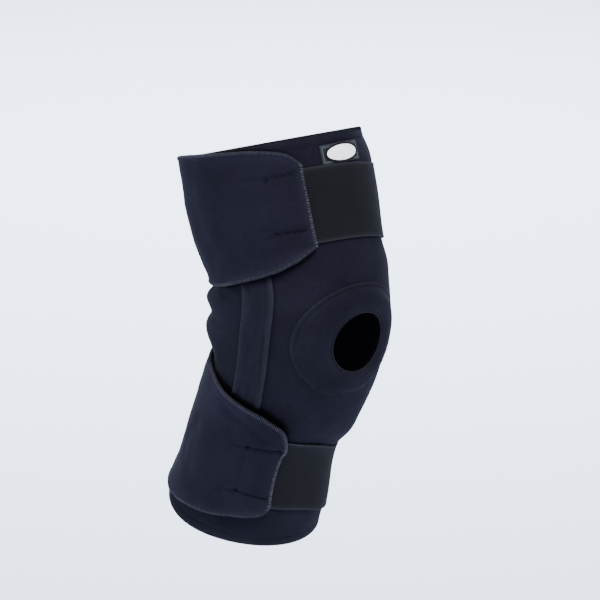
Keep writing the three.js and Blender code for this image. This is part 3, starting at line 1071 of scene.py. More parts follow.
# Distances between overcast stitches, and the thread of the wraps' ends
WRAP_PITCH = 1.3
END_PITCH = 1.9
END_RADIUS = 0.36
HEM_PITCH = 2.3
LIP_PITCH = 1.9
# The opening's overcast stitches go round the pad and the sleeve together
LIP_WALL = 4.9
LIP_MIDDLE = -1.1
# How far the hems' second row lies from the edge
HEM_INSET = 7.0


class Stitching:
    """Rows of stitches that share one thread, as one piece."""

    def __init__(self, name: str, finish: ThreadFinish, cloths: Cloths) -> None:
        """Starts an empty piece of thread."""
        self.name = name
        self.material = cloths.of(finish)
        self.bm = bmesh.new()

    def lay(self, stitch: bmesh.types.BMesh, frames: Sequence[Matrix]) -> None:
        """Puts a copy of a stitch in each frame, and frees the stitch.

        Args:
            stitch: The stitch's mesh, round the origin.
            frames: Where its copies go.
        """
        seeds = stitch.verts[:]
        shape = seeds + stitch.edges[:] + stitch.faces[:]
        for frame in frames:
            copy = bmesh.ops.duplicate(stitch, geom=shape)["geom"]
            verts = [e for e in copy if isinstance(e, bmesh.types.BMVert)]
            bmesh.ops.transform(stitch, matrix=frame, verts=verts)
        bmesh.ops.delete(stitch, geom=seeds, context="VERTS")
        row = bpy.data.meshes.new("row")
        stitch.to_mesh(row)
        stitch.free()
        self.bm.from_mesh(row)
        bpy.data.meshes.remove(row)

    def row(self, cloth: ClothPiece, line: Array, stitch: Lockstitch, closed: bool = False) -> None:
        """Sews a row of lockstitches.

        Args:
            cloth: The cloth that it is sewn on.
            line: Corners of the row in the flat cut.
            stitch: The stitch that it is made of.
            closed: Whether the row runs back to its start.
        """
        places, along = spread(line, stitch.pitch, closed)
        self.lay(stitch.shape(), cloth.frames(places, along, cloth.wall - stitch.sunk))

    def overcast(
        self,
        cloth: ClothPiece,
        line: Array,
        pitch: float,
        inward: tuple[float, float] | None = None,
        radius: float = 0.24,
    ) -> None:
        """Sews over an outer edge of a cloth.

        Args:
            cloth: The cloth whose edge it is.
            line: Corners of the edge in the flat cut.
            pitch: Distance between stitches.
            inward: Which way the cloth lies from the edge, for an edge that doesn't run back to its start.
            radius: The thread's radius.
        """
        places, along = spread(line, pitch, inward is None)
        side = inner_side(places, along) if inward is None else np.tile(np.array(inward), (len(places), 1))
        self.bind(cloth.frames(places, along, cloth.wall / 2, side), cloth.wall, radius)

    def overcast_lip(self, cloth: ClothPiece, line: Array) -> None:
        """Sews over the edge of an opening, round a cloth and what lies under it."""
        places, along = spread(line, LIP_PITCH, True)
        self.bind(cloth.frames(places, along, LIP_MIDDLE, -inner_side(places, along)), LIP_WALL, 0.24)

    def bind(self, frames: Sequence[Matrix], wall: float, radius: float) -> None:
        """Lays overcast stitches of three lengths by turns."""
        for turn, (reach, slant) in enumerate(((1.9, 0.5), (1.6, 0.35), (2.2, 0.6))):
            self.lay(overcast(wall, reach, radius, slant), frames[turn::3])

    def build(self) -> bpy.types.Object:
        """Finishes the piece."""
        return to_object(self.bm, self.name, self.material)


def polar_cut(around: int, inner: Array, outer: Array, shares: Array) -> bmesh.types.BMesh:
    """A flat ring or disc between two ovals.

    Args:
        around: Cells round it.
        inner: Half width and half height of the inner oval, or zeros for a disc.
        outer: Half width and half height of the outer oval.
        shares: Where the rows lie, from 0 at the inner oval to 1 at the outer.

    Returns:
        The cut, whole all the way round.
    """
    bm, column, row = grid(around, len(shares) - 1)
    turn = column * 2 * math.pi / around
    half = inner + (outer - inner) * shares[row][:, None]
    set_places(bm, np.sin(turn) * half[:, 0], np.cos(turn) * half[:, 1])
    bmesh.ops.remove_doubles(bm, verts=bm.verts, dist=1e-4)
    bmesh.ops.dissolve_degenerate(bm, edges=bm.edges, dist=1e-5)
    return bm


@dataclass
class Sleeve(ClothPiece):
    """The neoprene tube, with a hem at both ends and the opening for the knee cap."""

    name: str = "sleeve_tube"
    node: str = "sleeve"
    slot: str = "neoprene"
    under_wraps: bool = True
    columns: int = 184
    rows: int = 168
    ring_reach: float = 30.0
    ring_growth: float = 5.0
    hem_dip: float = 3.0
    hem_slack: float = 5.5
    calf_bulge: float = 5.0
    thigh_bulge: float = 2.0
    hem_flare: float = 1.5
    wrinkle: float = 0.35
    hem_groove: float = 0.5
    creases: tuple[Crease, ...] = (
        Crease(((14, 52), (3, 51)), 0.5),
        Crease(((-4, 49), (-26.5, 43)), -0.45, 2.0),
        Crease(((38, 55), (30, 52), (24, 53)), 0.4, 2.4),
        Crease(((-50, 56), (-38, 45), (-34, 34)), 0.35, 3.0),
        Crease(((4, 96), (0, 108), (-2, 122)), 0.7, 2.5),
        Crease(((24, 94), (27, 106)), 0.6, 2.4),
        Crease(((-28, 96), (-31, 108)), 0.6, 2.4),
    )

    def cut(self) -> bmesh.types.BMesh:
        """A rectangle with an oval hole, whose rings run over into the rows and columns round it."""
        bm, column, row = grid(self.columns, self.rows)
        wide = FULL_TURN * self.per_degree
        xs = np.linspace(-wide / 2, wide / 2, self.columns + 1)
        length = self.form.thigh_length + self.form.calf_length
        ys = graded(self.rows + 1, length, EDGE_ROWS)[:, 0] - self.form.calf_length
        set_places(bm, xs[column], ys[row])
        centre = np.array([-OPENING_ANGLE * self.per_degree, OPENING_S])
        half = OPENING / 2
        left, right = (int(np.abs(xs - centre[0] - side * half[0]).argmin()) for side in (-1, 1))
        low, high = (int(np.abs(ys - centre[1] - side * half[1]).argmin()) for side in (-1, 1))
        inside = (column > left) & (column < right) & (row > low) & (row < high)
        holed = [v for v, gone in zip(bm.verts[:], inside) if gone]
        bmesh.ops.delete(bm, geom=holed, context="VERTS")
        middle = np.array([xs[left] + xs[right], ys[low] + ys[high]]) / 2
        block = np.array([xs[right] - xs[left], ys[high] - ys[low]]) / 2
        flat = np.array([v.co[:2] for v in bm.verts])
        offset = flat - middle
        out = np.abs(offset / block).max(1)
        turn = offset / np.maximum(out, 1e-9)[:, None] / block
        turn = np.arctan2(turn[:, 1], turn[:, 0])
        apart = (out - 1.0) * block.mean()
        reach = apart * apart / (apart + self.ring_growth)
        oval = centre + np.stack([np.cos(turn), np.sin(turn)], 1) * (half + reach[:, None])
        blended = oval + (flat - oval) * ease(apart, 0.0, self.ring_reach)[:, None]
        set_places(bm, blended[:, 0], blended[:, 1])
        return bm

    def is_rim(self, edge: bmesh.types.BMEdge) -> bool:
        """The seam at the back is sewn shut, so it isn't an edge."""
        seam = FULL_TURN * self.per_degree / 2
        return edge.is_boundary and not all(abs(abs(v.co.x) - seam) < 1e-3 for v in edge.verts)

    def place(self, flat: Array) -> tuple[Array, Array]:
        """The lower hem dips towards the back, and hangs a little on the outer side."""
        degrees = -flat[:, 0] / self.per_degree
        s = flat[:, 1]
        dip = ease(-s, self.form.calf_length / 2, self.form.calf_length)
        slack = self.hem_slack * bell(turned(degrees, 105.0), 50.0)
        return s + (self.hem_dip * np.cos(np.radians(degrees)) - slack) * dip, degrees

    def bed(self, s: Array, degrees: Array) -> Array:
        """The sleeve's outer face is the form's face, swollen where the bands squeeze the leg."""
        below = LOWER_BAND.rim(degrees, 1) - s
        calf = self.calf_bulge * bell(turned(degrees, -38.0), 30.0) * bell(below + 18.0, 18.0)
        below = UPPER_BAND.rim(degrees, -1) - s
        inward = bell(turned(degrees, -50.0), 45.0)
        thigh = self.thigh_bulge * inward * bell(below - 12.0, 10.0)
        flare = self.hem_flare * (bell(s - 107.0, 12.0) - ease(s, 112.0, 131.0))
        return calf + thigh + flare * inward - self.wall

    def relief(self, flat: Array, solid: Array) -> Array:
        """Soft wrinkles, and the groove of the hem stitches."""
        soft = self.wrinkle * lumps(solid * [1.0, 1.0, 0.6], 16.0, 1.0)
        hems = bell(flat[:, 1] - (self.form.thigh_length - HEM_INSET), 0.9)
        hems = hems + bell(flat[:, 1] + self.form.calf_length - HEM_INSET, 0.9)
        return soft - self.hem_groove * hems

    def hems(self) -> list[Array]:
        """Lines of the top and the bottom edge in the flat cut."""
        half = FULL_TURN * self.per_degree / 2
        across = np.linspace(-half, half, 200)
        ends = (self.form.thigh_length, -self.form.calf_length)
        return [np.stack([across, np.full(len(across), s)], 1) for s in ends]


@dataclass
class PatellaPad(ClothPiece):
    """The padded ring round the opening, stitched down along its outer edge."""

    name: str = "patella_pad_ring"
    node: str = "patella_pad"
    slot: str = "pad_cloth"
    finish: ClothFinish = PAD_CLOTH
    wall: float = 1.0
    crown: float = 2.1
    around: int = 168
    rows: int = 34
    seam: float = 0.87

    def cut(self) -> bmesh.types.BMesh:
        """A ring, with rows that lie close at both edges."""
        width = (PAD - OPENING).sum() / 4
        shares = graded(self.rows + 1, width, (0.0, 0.1, 0.35, 0.75))[:, 0] / width
        return polar_cut(self.around, OPENING / 2, PAD / 2, shares)

    def share(self, flat: Array) -> Array:
        """Share of the way from the opening to the outer edge, found by halving."""
        low, high = np.zeros(len(flat)), np.ones(len(flat))
        for _ in range(24):
            guess = (low + high) / 2
            half = (OPENING + (PAD - OPENING) * guess[:, None]) / 2
            outside = ((flat / half) ** 2).sum(1) > 1.0
            low, high = np.where(outside, guess, low), np.where(outside, high, guess)
        return (low + high) / 2

    def oval(self, share: float) -> Array:
        """Corners of the oval at a share of the way from the opening to the outer edge."""
        half = (OPENING + (PAD - OPENING) * share) / 2
        turn = np.linspace(0.0, 2 * math.pi, 240, endpoint=False)
        return np.stack([np.sin(turn) * half[0], np.cos(turn) * half[1]], 1)

    def place(self, flat: Array) -> tuple[Array, Array]:
        """Round the middle of the opening."""
        return self.form.beside(OPENING_S, OPENING_ANGLE, flat)

    def bed(self, s: Array, degrees: Array) -> Array:
        """It lies on the sleeve, and is sewn down flush where the seam is slack."""
        return 0.15 - 1.0 * (1.0 - self.tight(s, degrees))

    def tight(self, s: Array, degrees: Array) -> Array:
        """How tight the seam is: fully towards the top and the outer side."""
        side = (degrees - OPENING_ANGLE) * 1.13
        rise = (s - OPENING_S) * 1.44
        toward = (0.6 * side + 0.8 * rise) / np.maximum(np.hypot(side, rise), 1.0)
        return ease(toward, -0.3, 0.75)

    def relief(self, flat: Array, solid: Array) -> Array:
        """The soft crown, the stitched groove and the raised cord on both sides of it."""
        share = self.share(flat)
        tight = self.tight(*self.place(flat))
        crown = self.crown * ease(share, -0.02, 0.3) * (1.0 - ease(share, 0.55, 0.88))
        groove = -(0.12 + 0.6 * tight) * bell(share - self.seam, 0.04)
        cords = (0.02 + 0.28 * tight) * (bell(share - 0.78, 0.05) + bell(share - 0.95, 0.035))
        soft = 0.35 * lumps(solid, 11.0, 4.0) * ease(share, 0.0, 0.2)
        return crown + groove + cords + soft


# The pocket from its top to its bottom: share of the way down, front and back edge in degrees
POCKET_TOP, POCKET_BOTTOM = 105.98, -141.96
POCKET_EDGES = np.array(
    [[0, 61, 83], [0.3, 60, 83], [0.42, 64, 87], [0.55, 64.5, 88], [0.65, 62, 87], [1, 62, 86]], float
)
POCKET_WALL = 1.3
RIDGE_HEIGHT = 1.0


def pocket_edges(s: Array) -> tuple[Array, Array]:
    """Front and back edge of the pocket in degrees, at lengths along the leg."""
    down = (POCKET_TOP - s) / (POCKET_TOP - POCKET_BOTTOM)
    return through(POCKET_EDGES, 1, down), through(POCKET_EDGES, 2, down)


@dataclass
class StayPocket(ClothPiece):
    """The strip that holds the stay, with a raised ridge along each edge."""

    name: str = "stay_pocket_strip"
    node: str = "stay_pocket"
    slot: str = "pocket_cloth"
    finish: ClothFinish = POCKET_CLOTH
    wall: float = POCKET_WALL
    under_wraps: bool = True
    columns: int = 44
    rows: int = 210
    seam: float = 0.225
    creases: tuple[Crease, ...] = (
        Crease(((2, 68), (-14, 69), (-36, 67.5)), 0.8, 1.0),
        Crease(((-6, 79), (-22, 80.5), (-38, 81)), 0.7, 1.0),
        Crease(((32, 70), (8, 71.5)), 0.5, 1.2),
        Crease(((-18, 73.5), (-46, 74)), 0.6, 1.2),
        Crease(((20, 77), (2, 78.5)), 0.5, 1.1),
    )

    def cut(self) -> bmesh.types.BMesh:
        """A long strip that follows the outer side of the leg."""
        bm, column, row = grid(self.columns, self.rows)
        ys = graded(self.rows + 1, POCKET_TOP - POCKET_BOTTOM, THIN_ROWS)[:, 0] + POCKET_BOTTOM
        front, back = pocket_edges(ys)
        across = graded(self.columns + 1, (back - front) * self.per_degree, THIN_ROWS)
        set_places(bm, across[column, row] - back[row] * self.per_degree, ys[row])
        return bm

    def seams(self) -> list[Array]:
        """Lines of the rows of stitches beside the ridges, in the flat cut."""
        s = np.linspace(POCKET_BOTTOM + 3, POCKET_TOP - 3, 120)
        front, back = pocket_edges(s)
        shares = (self.seam, 1.0 - self.seam)
        return [np.stack([-(front + (back - front) * k) * self.per_degree, s], 1) for k in shares]

    def relief(self, flat: Array, solid: Array) -> Array:
        """Ridges, the stay's bulge between them and wrinkles along it."""
        s, degrees = self.place(flat)
        front, back = pocket_edges(s)
        share = (degrees - front) / (back - front)
        near = np.minimum(share, 1.0 - share)
        uneven = 0.62 + 0.25 * lumps(solid * [0.2, 0.2, 1.0], 9.0, 5.0)
        ridge = uneven * RIDGE_HEIGHT * ease(near, 0.0, 0.08) * (1.0 - ease(near, 0.1, 0.2))
        groove = -0.4 * bell(near - self.seam, 0.025)
        bulge = 0.5 * bell(share - 0.5, 0.16)
        soft = 0.45 * lumps(solid * [1.6, 1.6, 0.3], 8.0, 7.0)
        return ridge + groove + bulge + soft * ease(near, 0.0, 0.3)


@dataclass(frozen=True)
class BoxStitch:
    """The rows that hold a band's end to its wrap: front and back edge in degrees, bottom and top in s."""

    front: float
    back: float
    bottom: tuple[float, float]
    top: tuple[float, float]

    def corners(self, per_degree: float) -> Array:
        """Corners of the box in the flat cut, from the bottom front on."""
        front, back = -self.front * per_degree, -self.back * per_degree
        return np.array(
            [[front, self.bottom[0]], [back, self.bottom[1]], [back, self.top[1]], [front, self.top[0]]]
        )


@dataclass
class Wrap(ClothPiece):
    """A wide wrap that ends over its band in a rounded corner. This one is the thigh's."""

    name: str = "upper_wrap_panel"
    node: str = "upper_wrap"
    slot: str = "wrap_cloth"
    finish: ClothFinish = WRAP_CLOTH
    wall: float = WRAP_WALL
    curl: float = 0.4
    plan: WrapPlan = UPPER_PLAN
    columns: int = 230
    rows: int = 72
    crowding: float = 1.25
    lift: float = 2.1
    lift_reach: float = 4.0
    slack: float = 0.8
    box: BoxStitch = BoxStitch(32.7, 50.0, (65.1, 65.6), (106.7, 105.0))
    trench: float = 1.6
    seed: float = 11.0
    creases: tuple[Crease, ...] = (
        Crease(((105.2, 51), (107, 61)), 1.1, 2.0),
        Crease(((65.5, 51), (62, 57)), 0.7),
        Crease(((66.5, 69), (71, 61.5), (69, 55.5)), 0.7),
        Crease(((51, 68), (51, 59.5), (53.5, 50)), 0.6),
        Crease(((66, 79), (61.5, 74.5)), 0.6),
        Crease(((82, 82), (85, 66.5)), 0.5, 2.5),
        Crease(((90, 128), (70, 122), (58, 124)), 0.6, 3.6),
        Crease(((112, 160), (92, 158), (80, 165)), 0.6, 3.6),
    )

    def __post_init__(self) -> None:
        """The cut is as long round the leg as the plan says."""
        self.per_degree = self.plan.per_degree

    def hemline(self, rim: Array) -> Array:
        """The rolled edge that the overcast thread draws up."""
        return 0.3 * bell(rim - 1.6, 1.0) - 0.4 * bell(rim - 3.8, 0.9)

    def end_line(self) -> Array:
        """The wrap's end in the flat cut, with the start of both corners."""
        degrees = self.plan.front + np.array([1.2, 0.6, 0.2, 0.0, 0.0, 0.2, 0.6, 1.2])
        s = np.concatenate([self.plan.edge(1, degrees[:4]), self.plan.edge(2, degrees[4:])])
        return np.stack([-degrees * self.per_degree, s], 1)

    def cut(self) -> bmesh.types.BMesh:
        """A panel whose columns lie closer together towards its end."""
        bm, column, row = grid(self.columns, self.rows)
        length = (ROOT_ANGLE - self.plan.front) * self.per_degree
        even = np.linspace(0.0, 1.0, self.columns + 2 - len(EDGE_ROWS))[1:]
        start = EDGE_ROWS[-1]
        run = np.concatenate([EDGE_ROWS, start + even**self.crowding * (length - start)])
        degrees = self.plan.front + run / self.per_degree
        low, high = self.plan.span(degrees)
        across = graded(self.rows + 1, high - low, EDGE_ROWS) + low
        set_places(bm, -degrees[column] * self.per_degree, across[row, column])
        return bm

    def bed(self, s: Array, degrees: Array) -> Array:
        """Over the pocket and over the end of the band, loose at the back and lifted near its end."""
        front, back = pocket_edges(s)
        past_pocket = ease(degrees, back - 4.0, back + 24.0)
        over_pocket = ease(degrees, front - 20.0, front + 4.0) * (1.0 - past_pocket)
        past = self.plan.band.start + 1.0
        over_band = 1.0 - ease(degrees, past, past + 14.0)
        pocket = (POCKET_WALL + RIDGE_HEIGHT + LAYER_GAP) * over_pocket
        band = (BAND_WALL + LAYER_GAP) * over_band
        loose = self.slack * ease(degrees, 85.0, 125.0) * (1.0 - ease(degrees, 165.0, 215.0))
        near_edge = np.minimum(*(np.abs(s - self.plan.edge(column, degrees)) for column in (1, 2)))
        lift = self.lift * (1.0 - ease(degrees, 70.0, 120.0)) * np.exp(-near_edge / self.lift_reach)
        return LAYER_GAP + np.maximum(pocket, band) + loose + lift

    def relief(self, flat: Array, solid: Array) -> Array:
        """Trenches of the box stitch, the cloth puffed up between them, and soft wrinkles."""
        box, rise = self.box, 5
        corners = box.corners(self.per_degree)
        apart = segment_distance(flat, polyline([*corners, corners[0]]))
        s, degrees = self.place(flat)
        inside = ease(degrees, box.front, box.front + rise) * (1 - ease(degrees, box.back - rise, box.back))
        low, high, rise = min(box.bottom), max(box.top), 8
        inside = inside * ease(s, low, low + rise) * (1 - ease(s, high - rise, high))
        rows = segment_distance(flat, corners[[[0, 1], [2, 3]]])
        trench = -0.35 * bell(apart, 1.0) - self.trench * bell(rows, 1.6)
        soft = 0.6 * lumps(solid * [1.0, 1.0, 0.8], 16.0, self.seed)
        return trench + 0.4 * inside + soft * ease(apart, 0.0, 6.0)


@dataclass
class LowerWrap(Wrap):
    """The wrap of the calf."""

    name: str = "lower_wrap_panel"
    node: str = "lower_wrap"
    plan: WrapPlan = LOWER_PLAN
    slack: float = 0.0
    box: BoxStitch = BoxStitch(34.5, 58.0, (-124.4, -123.9), (-78.8, -84.2))
    seed: float = 23.0
    creases: tuple[Crease, ...] = (
        Crease(((-84, 58.5), (-86, 67)), 0.9, 1.8),
        Crease(((-124.5, 59), (-128, 70)), 1.2, 2.0),
        Crease(((-121, 60), (-121, 63)), -0.8, 1.6),
        Crease(((-60, 84), (-62, 66), (-70, 50)), 0.5, 3.0),
        Crease(((-96, 110), (-112, 118), (-128, 116)), 0.35, 4.0),
        Crease(((-70, 140), (-92, 146)), 0.4, 3.6),
    )


@dataclass
class ElasticBand(ClothPiece):
    """A ribbed elastic band, from under the end of its wrap round the front to its free end."""

    slot: str = "elastic_webbing"
    finish: ClothFinish = BAND_CLOTH
    wall: float = BAND_WALL
    edge_reach: float = 1.0
    curl: float = 0.6
    band: Band = UPPER_BAND
    columns: int = 190
    rows: int = 40
    end_inset: float = 5.0
    end_length: float = 26.0

    def cut(self) -> bmesh.types.BMesh:
        """A straight strip."""
        size = ((self.band.start - self.band.end) * self.per_degree, self.band.width)
        left = -self.band.start * self.per_degree
        return rectangle((self.columns, self.rows), size, THIN_ROWS, left)

    def place(self, flat: Array) -> tuple[Array, Array]:
        """Along the band's middle."""
        degrees = -flat[:, 0] / self.per_degree
        return self.band.middle(degrees) + flat[:, 1] * self.band.share(degrees), degrees

    def end_rows(self) -> list[Array]:
        """Rows of stitches round the hook patch, in the flat cut."""
        end = -self.band.end * self.per_degree - self.end_inset
        start = end - self.end_length
        high = self.band.width / 2 - self.end_inset
        corners = np.array([[end, -high], [end, high], [start, high], [start, -high]])
        return [np.array(pair) for pair in zip(corners, np.roll(corners, -1, 0))]

    def bed(self, s: Array, degrees: Array) -> Array:
        """Over the root of the wrap and over its own hook patch."""
        past = ROOT_ANGLE - FULL_TURN + 8.0
        over_root = 1.0 - ease(degrees, past, past + 12.0)
        return LAYER_GAP + (WRAP_WALL + HOOK_WALL + 2 * LAYER_GAP) * over_root

    def relief(self, flat: Array, solid: Array) -> Array:
        """A flat selvage along both edges."""
        from_edge = self.band.width / 2 - np.abs(flat[:, 1])
        return -0.25 * bell(from_edge - 2.6, 0.5) + 0.1 * lumps(solid, 20.0, 3.0)


@dataclass
class HookPatch(ClothPiece):
    """The hook patch under the free end of a band, on the root of its wrap."""

    slot: str = "hook_patch"
    finish: ClothFinish = HOOK_TAPE
    wall: float = HOOK_WALL
    lie: float = WRAP_WALL + 2 * LAYER_GAP
    band: Band = UPPER_BAND
    length: float = 28.0
    inset: float = 4.0

    def __post_init__(self) -> None:
        """Works out how far round the leg a millimetre is here."""
        _, around = self.form.slopes(np.array([self.band.s]), np.array([self.band.end]))
        self.per_degree = float(lengths(around)[0])

    def cut(self) -> bmesh.types.BMesh:
        """A plain rectangle."""
        return rectangle((28, 40), (self.length, self.band.width - 2 * self.inset), PATCH_ROWS)

    def place(self, flat: Array) -> tuple[Array, Array]:
        """From the free end of the band inwards."""
        degrees = self.band.end + (self.inset + self.length / 2 - flat[:, 0]) / self.per_degree
        return self.band.middle(degrees) + flat[:, 1], degrees


@dataclass
class LabelTab(ClothPiece):
    """The woven label just over the upper band, sewn on all round."""

    name: str = "label_tab_cloth"
    node: str = "label_tab"
    slot: str = "label_cloth"
    finish: ClothFinish = LABEL_CLOTH
    wall: float = LABEL_WALL
    gap: float = 0.4

    def cut(self) -> bmesh.types.BMesh:
        """A rectangle with its middle at 0."""
        return rectangle((60, 28), LABEL, PATCH_ROWS)

    def place(self, flat: Array) -> tuple[Array, Array]:
        """Round the middle of the label."""
        band = float(UPPER_BAND.middle(np.array([LABEL_ANGLE]))[0])
        middle = band + UPPER_BAND.width / 2 + self.gap + LABEL[1] / 2
        return self.form.beside(middle, LABEL_ANGLE, flat)

    def relief(self, flat: Array, solid: Array) -> Array:
        """The stitched line just inside the edge."""
        over = np.abs(flat) - np.array(LABEL) / 2 + FRAME_INSET
        return 0.12 * bell(over.max(1), 0.45)


@dataclass
class Badge(LabelTab):
    """The bare white oval on the label, a little sunk into it."""

    name: str = "badge_oval"
    node: str = "label_badge"
    slot: str = "badge_cloth"
    finish: ClothFinish = BADGE_CLOTH
    wall: float = 0.8
    lie: float = LABEL_WALL + 2 * LAYER_GAP - 0.35

    def cut(self) -> bmesh.types.BMesh:
        """A disc."""
        shares = np.concatenate([np.linspace(0.0, 0.86, 9), [0.92, 0.96, 0.985, 1.0]])
        return polar_cut(72, np.zeros(2), np.array(BADGE) / 2, shares)

    def relief(self, flat: Array, solid: Array) -> Array:
        """It is flat."""
        return np.zeros(len(flat))


@dataclass
class BadgeBorder(Badge):
    """The black merrowed border round the oval."""

    name: str = "badge_border"
    node: str = ""
    slot: str = ""
    finish: ClothFinish = RING_CLOTH
    wall: float = 1.3
    inward: float = 0.8
    outward: float = 1.1
    turns: int = 55

    def cut(self) -> bmesh.types.BMesh:
        """A narrow oval ring."""
        half = np.array(BADGE) / 2
        return polar_cut(110, half - self.inward, half + self.outward, np.linspace(0.0, 1.0, 9))

    def relief(self, flat: Array, solid: Array) -> Array:
        """The turns of its thread."""
        turn = np.arctan2(flat[:, 0] / BADGE[0], flat[:, 1] / BADGE[1])
        return 0.08 * np.cos(turn * self.turns)


@dataclass(frozen=True)
class FlatCut:
    """How a piece was cut before it was sewn and stretched: width, length and any other area, in metres."""

    width: float
    length: float
    area: float | None = None


class KneeSleeve:
    """The whole support, put together on the leg's form."""

    def __init__(self) -> None:
        """Plans every piece of cloth."""
        self.materials = Cloths()
        both = LegForm(), self.materials
        kinds = [Sleeve(*both), PatellaPad(*both), StayPocket(*both), Wrap(*both), LowerWrap(*both)]
        for name, band, per_degree in (("upper", UPPER_BAND, 1.17), ("lower", LOWER_BAND, 1.02)):
            names = f"{name}_elastic_band", f"{name}_elastic"
            kinds.append(ElasticBand(*both, *names, band=band, per_degree=per_degree))
        for name, band in (("upper", UPPER_BAND), ("lower", LOWER_BAND)):
            kinds.append(HookPatch(*both, f"{name}_hook_patch", f"{name}_hook_tab", band=band))
        kinds += [LabelTab(*both), Badge(*both), BadgeBorder(*both)]
        self.cloths = {cloth.name: cloth for cloth in kinds}

    def build(self) -> None:
        """Builds every piece and sews its threads."""
        pieces = {name: cloth.build() for name, cloth in self.cloths.items()}
        threads = self.sew_wraps() | self.sew_sleeve()
        threads["badge_oval"] = [pieces["badge_border"]]

    def sew_wraps(self) -> dict[str, list[bpy.types.Object]]:
        """Sews the edges of the wraps, the boxes on them and the ends of the bands.

        Returns:
            The pieces of thread that go with each piece of cloth.
        """
        sewn: dict[str, list[bpy.types.Object]] = {}
        for side in ("upper", "lower"):
            wrap = self.cloths[f"{side}_wrap_panel"]
            edge = Stitching(f"{side}_wrap_edge_thread", EDGE_THREAD, self.materials)
            edge.overcast(wrap, wrap.outline(), WRAP_PITCH)
            end = Stitching(f"{side}_wrap_end_thread", END_THREAD, self.materials)
            end.overcast(wrap, wrap.end_line(), END_PITCH, inward=(-1.0, 0.0), radius=END_RADIUS)
            box = Stitching(f"{side}_wrap_box_thread", SEAM_THREAD, self.materials)
            corners = wrap.box.corners(wrap.per_degree)
            stitches = (BOX_ROW_STITCH, BOX_SIDE_STITCH) * 2
            for corner, following, stitch in zip(corners, np.roll(corners, -1, 0), stitches):
                box.row(wrap, np.array([corner, following]), stitch)
            sewn[wrap.name] = [edge.build(), end.build(), box.build()]
            band = self.cloths[f"{side}_elastic_band"]
            rows = Stitching(f"{side}_elastic_thread", SEAM_THREAD, self.materials)
            for line in band.end_rows():
                rows.row(band, line, BAND_STITCH)
            sewn[band.name] = [rows.build()]
        return sewn

    def sew_sleeve(self) -> dict[str, list[bpy.types.Object]]:
        """Sews the hems, the pad, the edge of the opening and the pocket.

        Returns:
            The pieces of thread that go with each piece of cloth.
        """
        sleeve, pad, pocket = (
            self.cloths[name] for name in ("sleeve_tube", "patella_pad_ring", "stay_pocket_strip")
        )
        hems = Stitching("hem_thread", HEM_THREAD, self.materials)
        for line, inward in zip(sleeve.hems(), (-1.0, 1.0)):
            hems.overcast(sleeve, line, HEM_PITCH, inward=(0.0, inward))
            hems.row(sleeve, line + [0.0, inward * HEM_INSET], HEM_STITCH)
        seam = Stitching("patella_pad_thread", HEM_THREAD, self.materials)
        seam.row(pad, pad.oval(pad.seam), PAD_STITCH, closed=True)
        lip = Stitching("opening_thread", SEAM_THREAD, self.materials)
        lip.overcast_lip(pad, pad.oval(0.0))
        sewn = {sleeve.name: [hems.build(), seam.build(), lip.build()]}
        rows = Stitching("stay_pocket_thread", HEM_THREAD, self.materials)
        for line in pocket.seams():
            rows.row(pocket, line, POCKET_STITCH)
        sewn[pocket.name] = [rows.build()]
        return sewn


def link(name: str, data: bpy.types.ID, place: Vector | tuple[float, float, float]) -> bpy.types.Object:
    """Puts an object with its data into the scene."""
    thing = bpy.data.objects.new(name, data)
    thing.location = place
    bpy.context.scene.collection.objects.link(thing)
    return thing


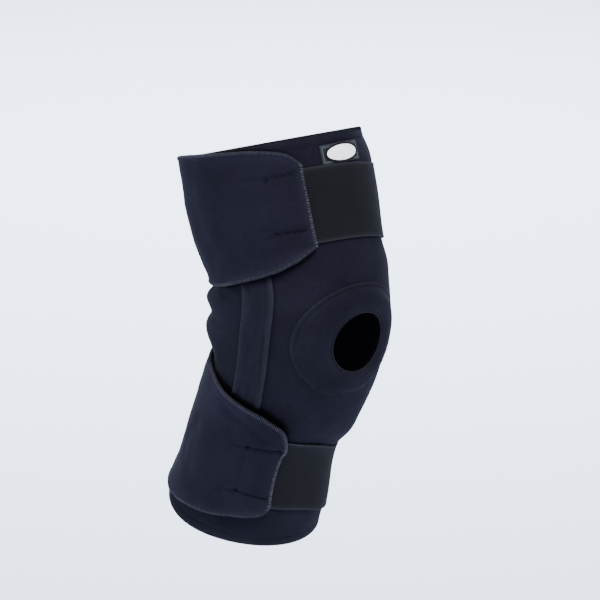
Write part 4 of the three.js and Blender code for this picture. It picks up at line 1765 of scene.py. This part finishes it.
@dataclass
class Studio:
    """A pale floor far below, soft light and a camera where the photo was taken from."""

    azimuth: float = -44.0
    elevation: float = 14.0
    distance: float = 2.6
    metres_per_pixel: float = 0.000742
    pixels: int = 600
    origin: tuple[float, float] = (297.5, 315.8)
    sensor: float = 36.0
    world_strength: float = 0.45
    floor_half: float = 30.0
    floor_depth: float = 0.5
    backdrop_distance: float = 3.3
    backdrop_height: float = 1.4

    def back(self) -> Vector:
        """Direction from the knee to the camera."""
        a, e = math.radians(self.azimuth), math.radians(self.elevation)
        return Vector((math.sin(a) * math.cos(e), -math.cos(a) * math.cos(e), math.sin(e)))

    def camera(self) -> None:
        """Puts the camera where the knee has the size and the place that it has in the photo."""
        data = bpy.data.cameras.new("photo_camera")
        data.sensor_width = self.sensor
        data.lens = self.sensor * self.distance / (self.metres_per_pixel * self.pixels)
        half = self.pixels / 2
        data.shift_x = (half - self.origin[0]) / self.pixels
        data.shift_y = (self.origin[1] - half) / self.pixels
        data.clip_end = 100.0
        camera = link("photo_camera", data, self.back() * self.distance)
        camera.rotation_euler = self.back().to_track_quat("Z", "Y").to_euler()
        bpy.context.scene.camera = camera

    def area(self, name: str, place: Vector, size: float, power: float, colour: str) -> bpy.types.Object:
        """Adds a square soft light that shines down."""
        data = bpy.data.lights.new(name, "AREA")
        data.size = size
        data.energy = power
        data.color = srgb(colour)[:3]
        return link(name, data, place)

    def lights(self) -> None:
        """Adds two lights that shine at the knee, and a wide one over the floor behind it."""
        aimed = [
            self.area("key", Vector((-0.8, -1.7, 2.2)), 1.1, 97.0, "FFFFFF"),
            self.area("rim", Vector((-1.8, 0.9, 0.9)), 1.0, 25.0, "F2F5FF"),
        ]
        for light in aimed:
            light.rotation_euler = light.location.to_track_quat("Z", "Y").to_euler()
        behind = -self.back() * self.backdrop_distance
        self.area("backdrop", Vector((behind.x, behind.y, self.backdrop_height)), 4.0, 490.0, "E9F1FF")

    def floor(self) -> None:
        """Lays a floor so wide that its far edge is out of sight."""
        bm = bmesh.new()
        bmesh.ops.create_grid(bm, x_segments=1, y_segments=1, size=self.floor_half)
        mesh = bpy.data.meshes.new("studio_floor")
        bm.to_mesh(mesh)
        bm.free()
        material = bpy.data.materials.new("pale_floor")
        material.use_nodes = True
        shader = material.node_tree.nodes["Principled BSDF"]
        shader.inputs["Base Color"].default_value = srgb("E6EBF5")
        shader.inputs["Roughness"].default_value = 0.9
        mesh.materials.append(material)
        link("studio_floor", mesh, (0.0, 0.0, -self.floor_depth))

    def build(self) -> None:
        """Sets up the whole studio."""
        self.camera()
        self.floor()
        world = bpy.data.worlds.new("studio_world")
        world.use_nodes = True
        background = world.node_tree.nodes["Background"]
        background.inputs["Color"].default_value = srgb("E8EEFA")
        background.inputs["Strength"].default_value = self.world_strength
        bpy.context.scene.world = world
        self.lights()


def main() -> None:
    """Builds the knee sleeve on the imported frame."""
    logging.basicConfig(level=logging.INFO, format="%(name)s %(message)s")
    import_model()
    KneeSleeve().build()
    Studio().build()
    bpy.context.view_layer.update()


if __name__ == "__main__":
    main()
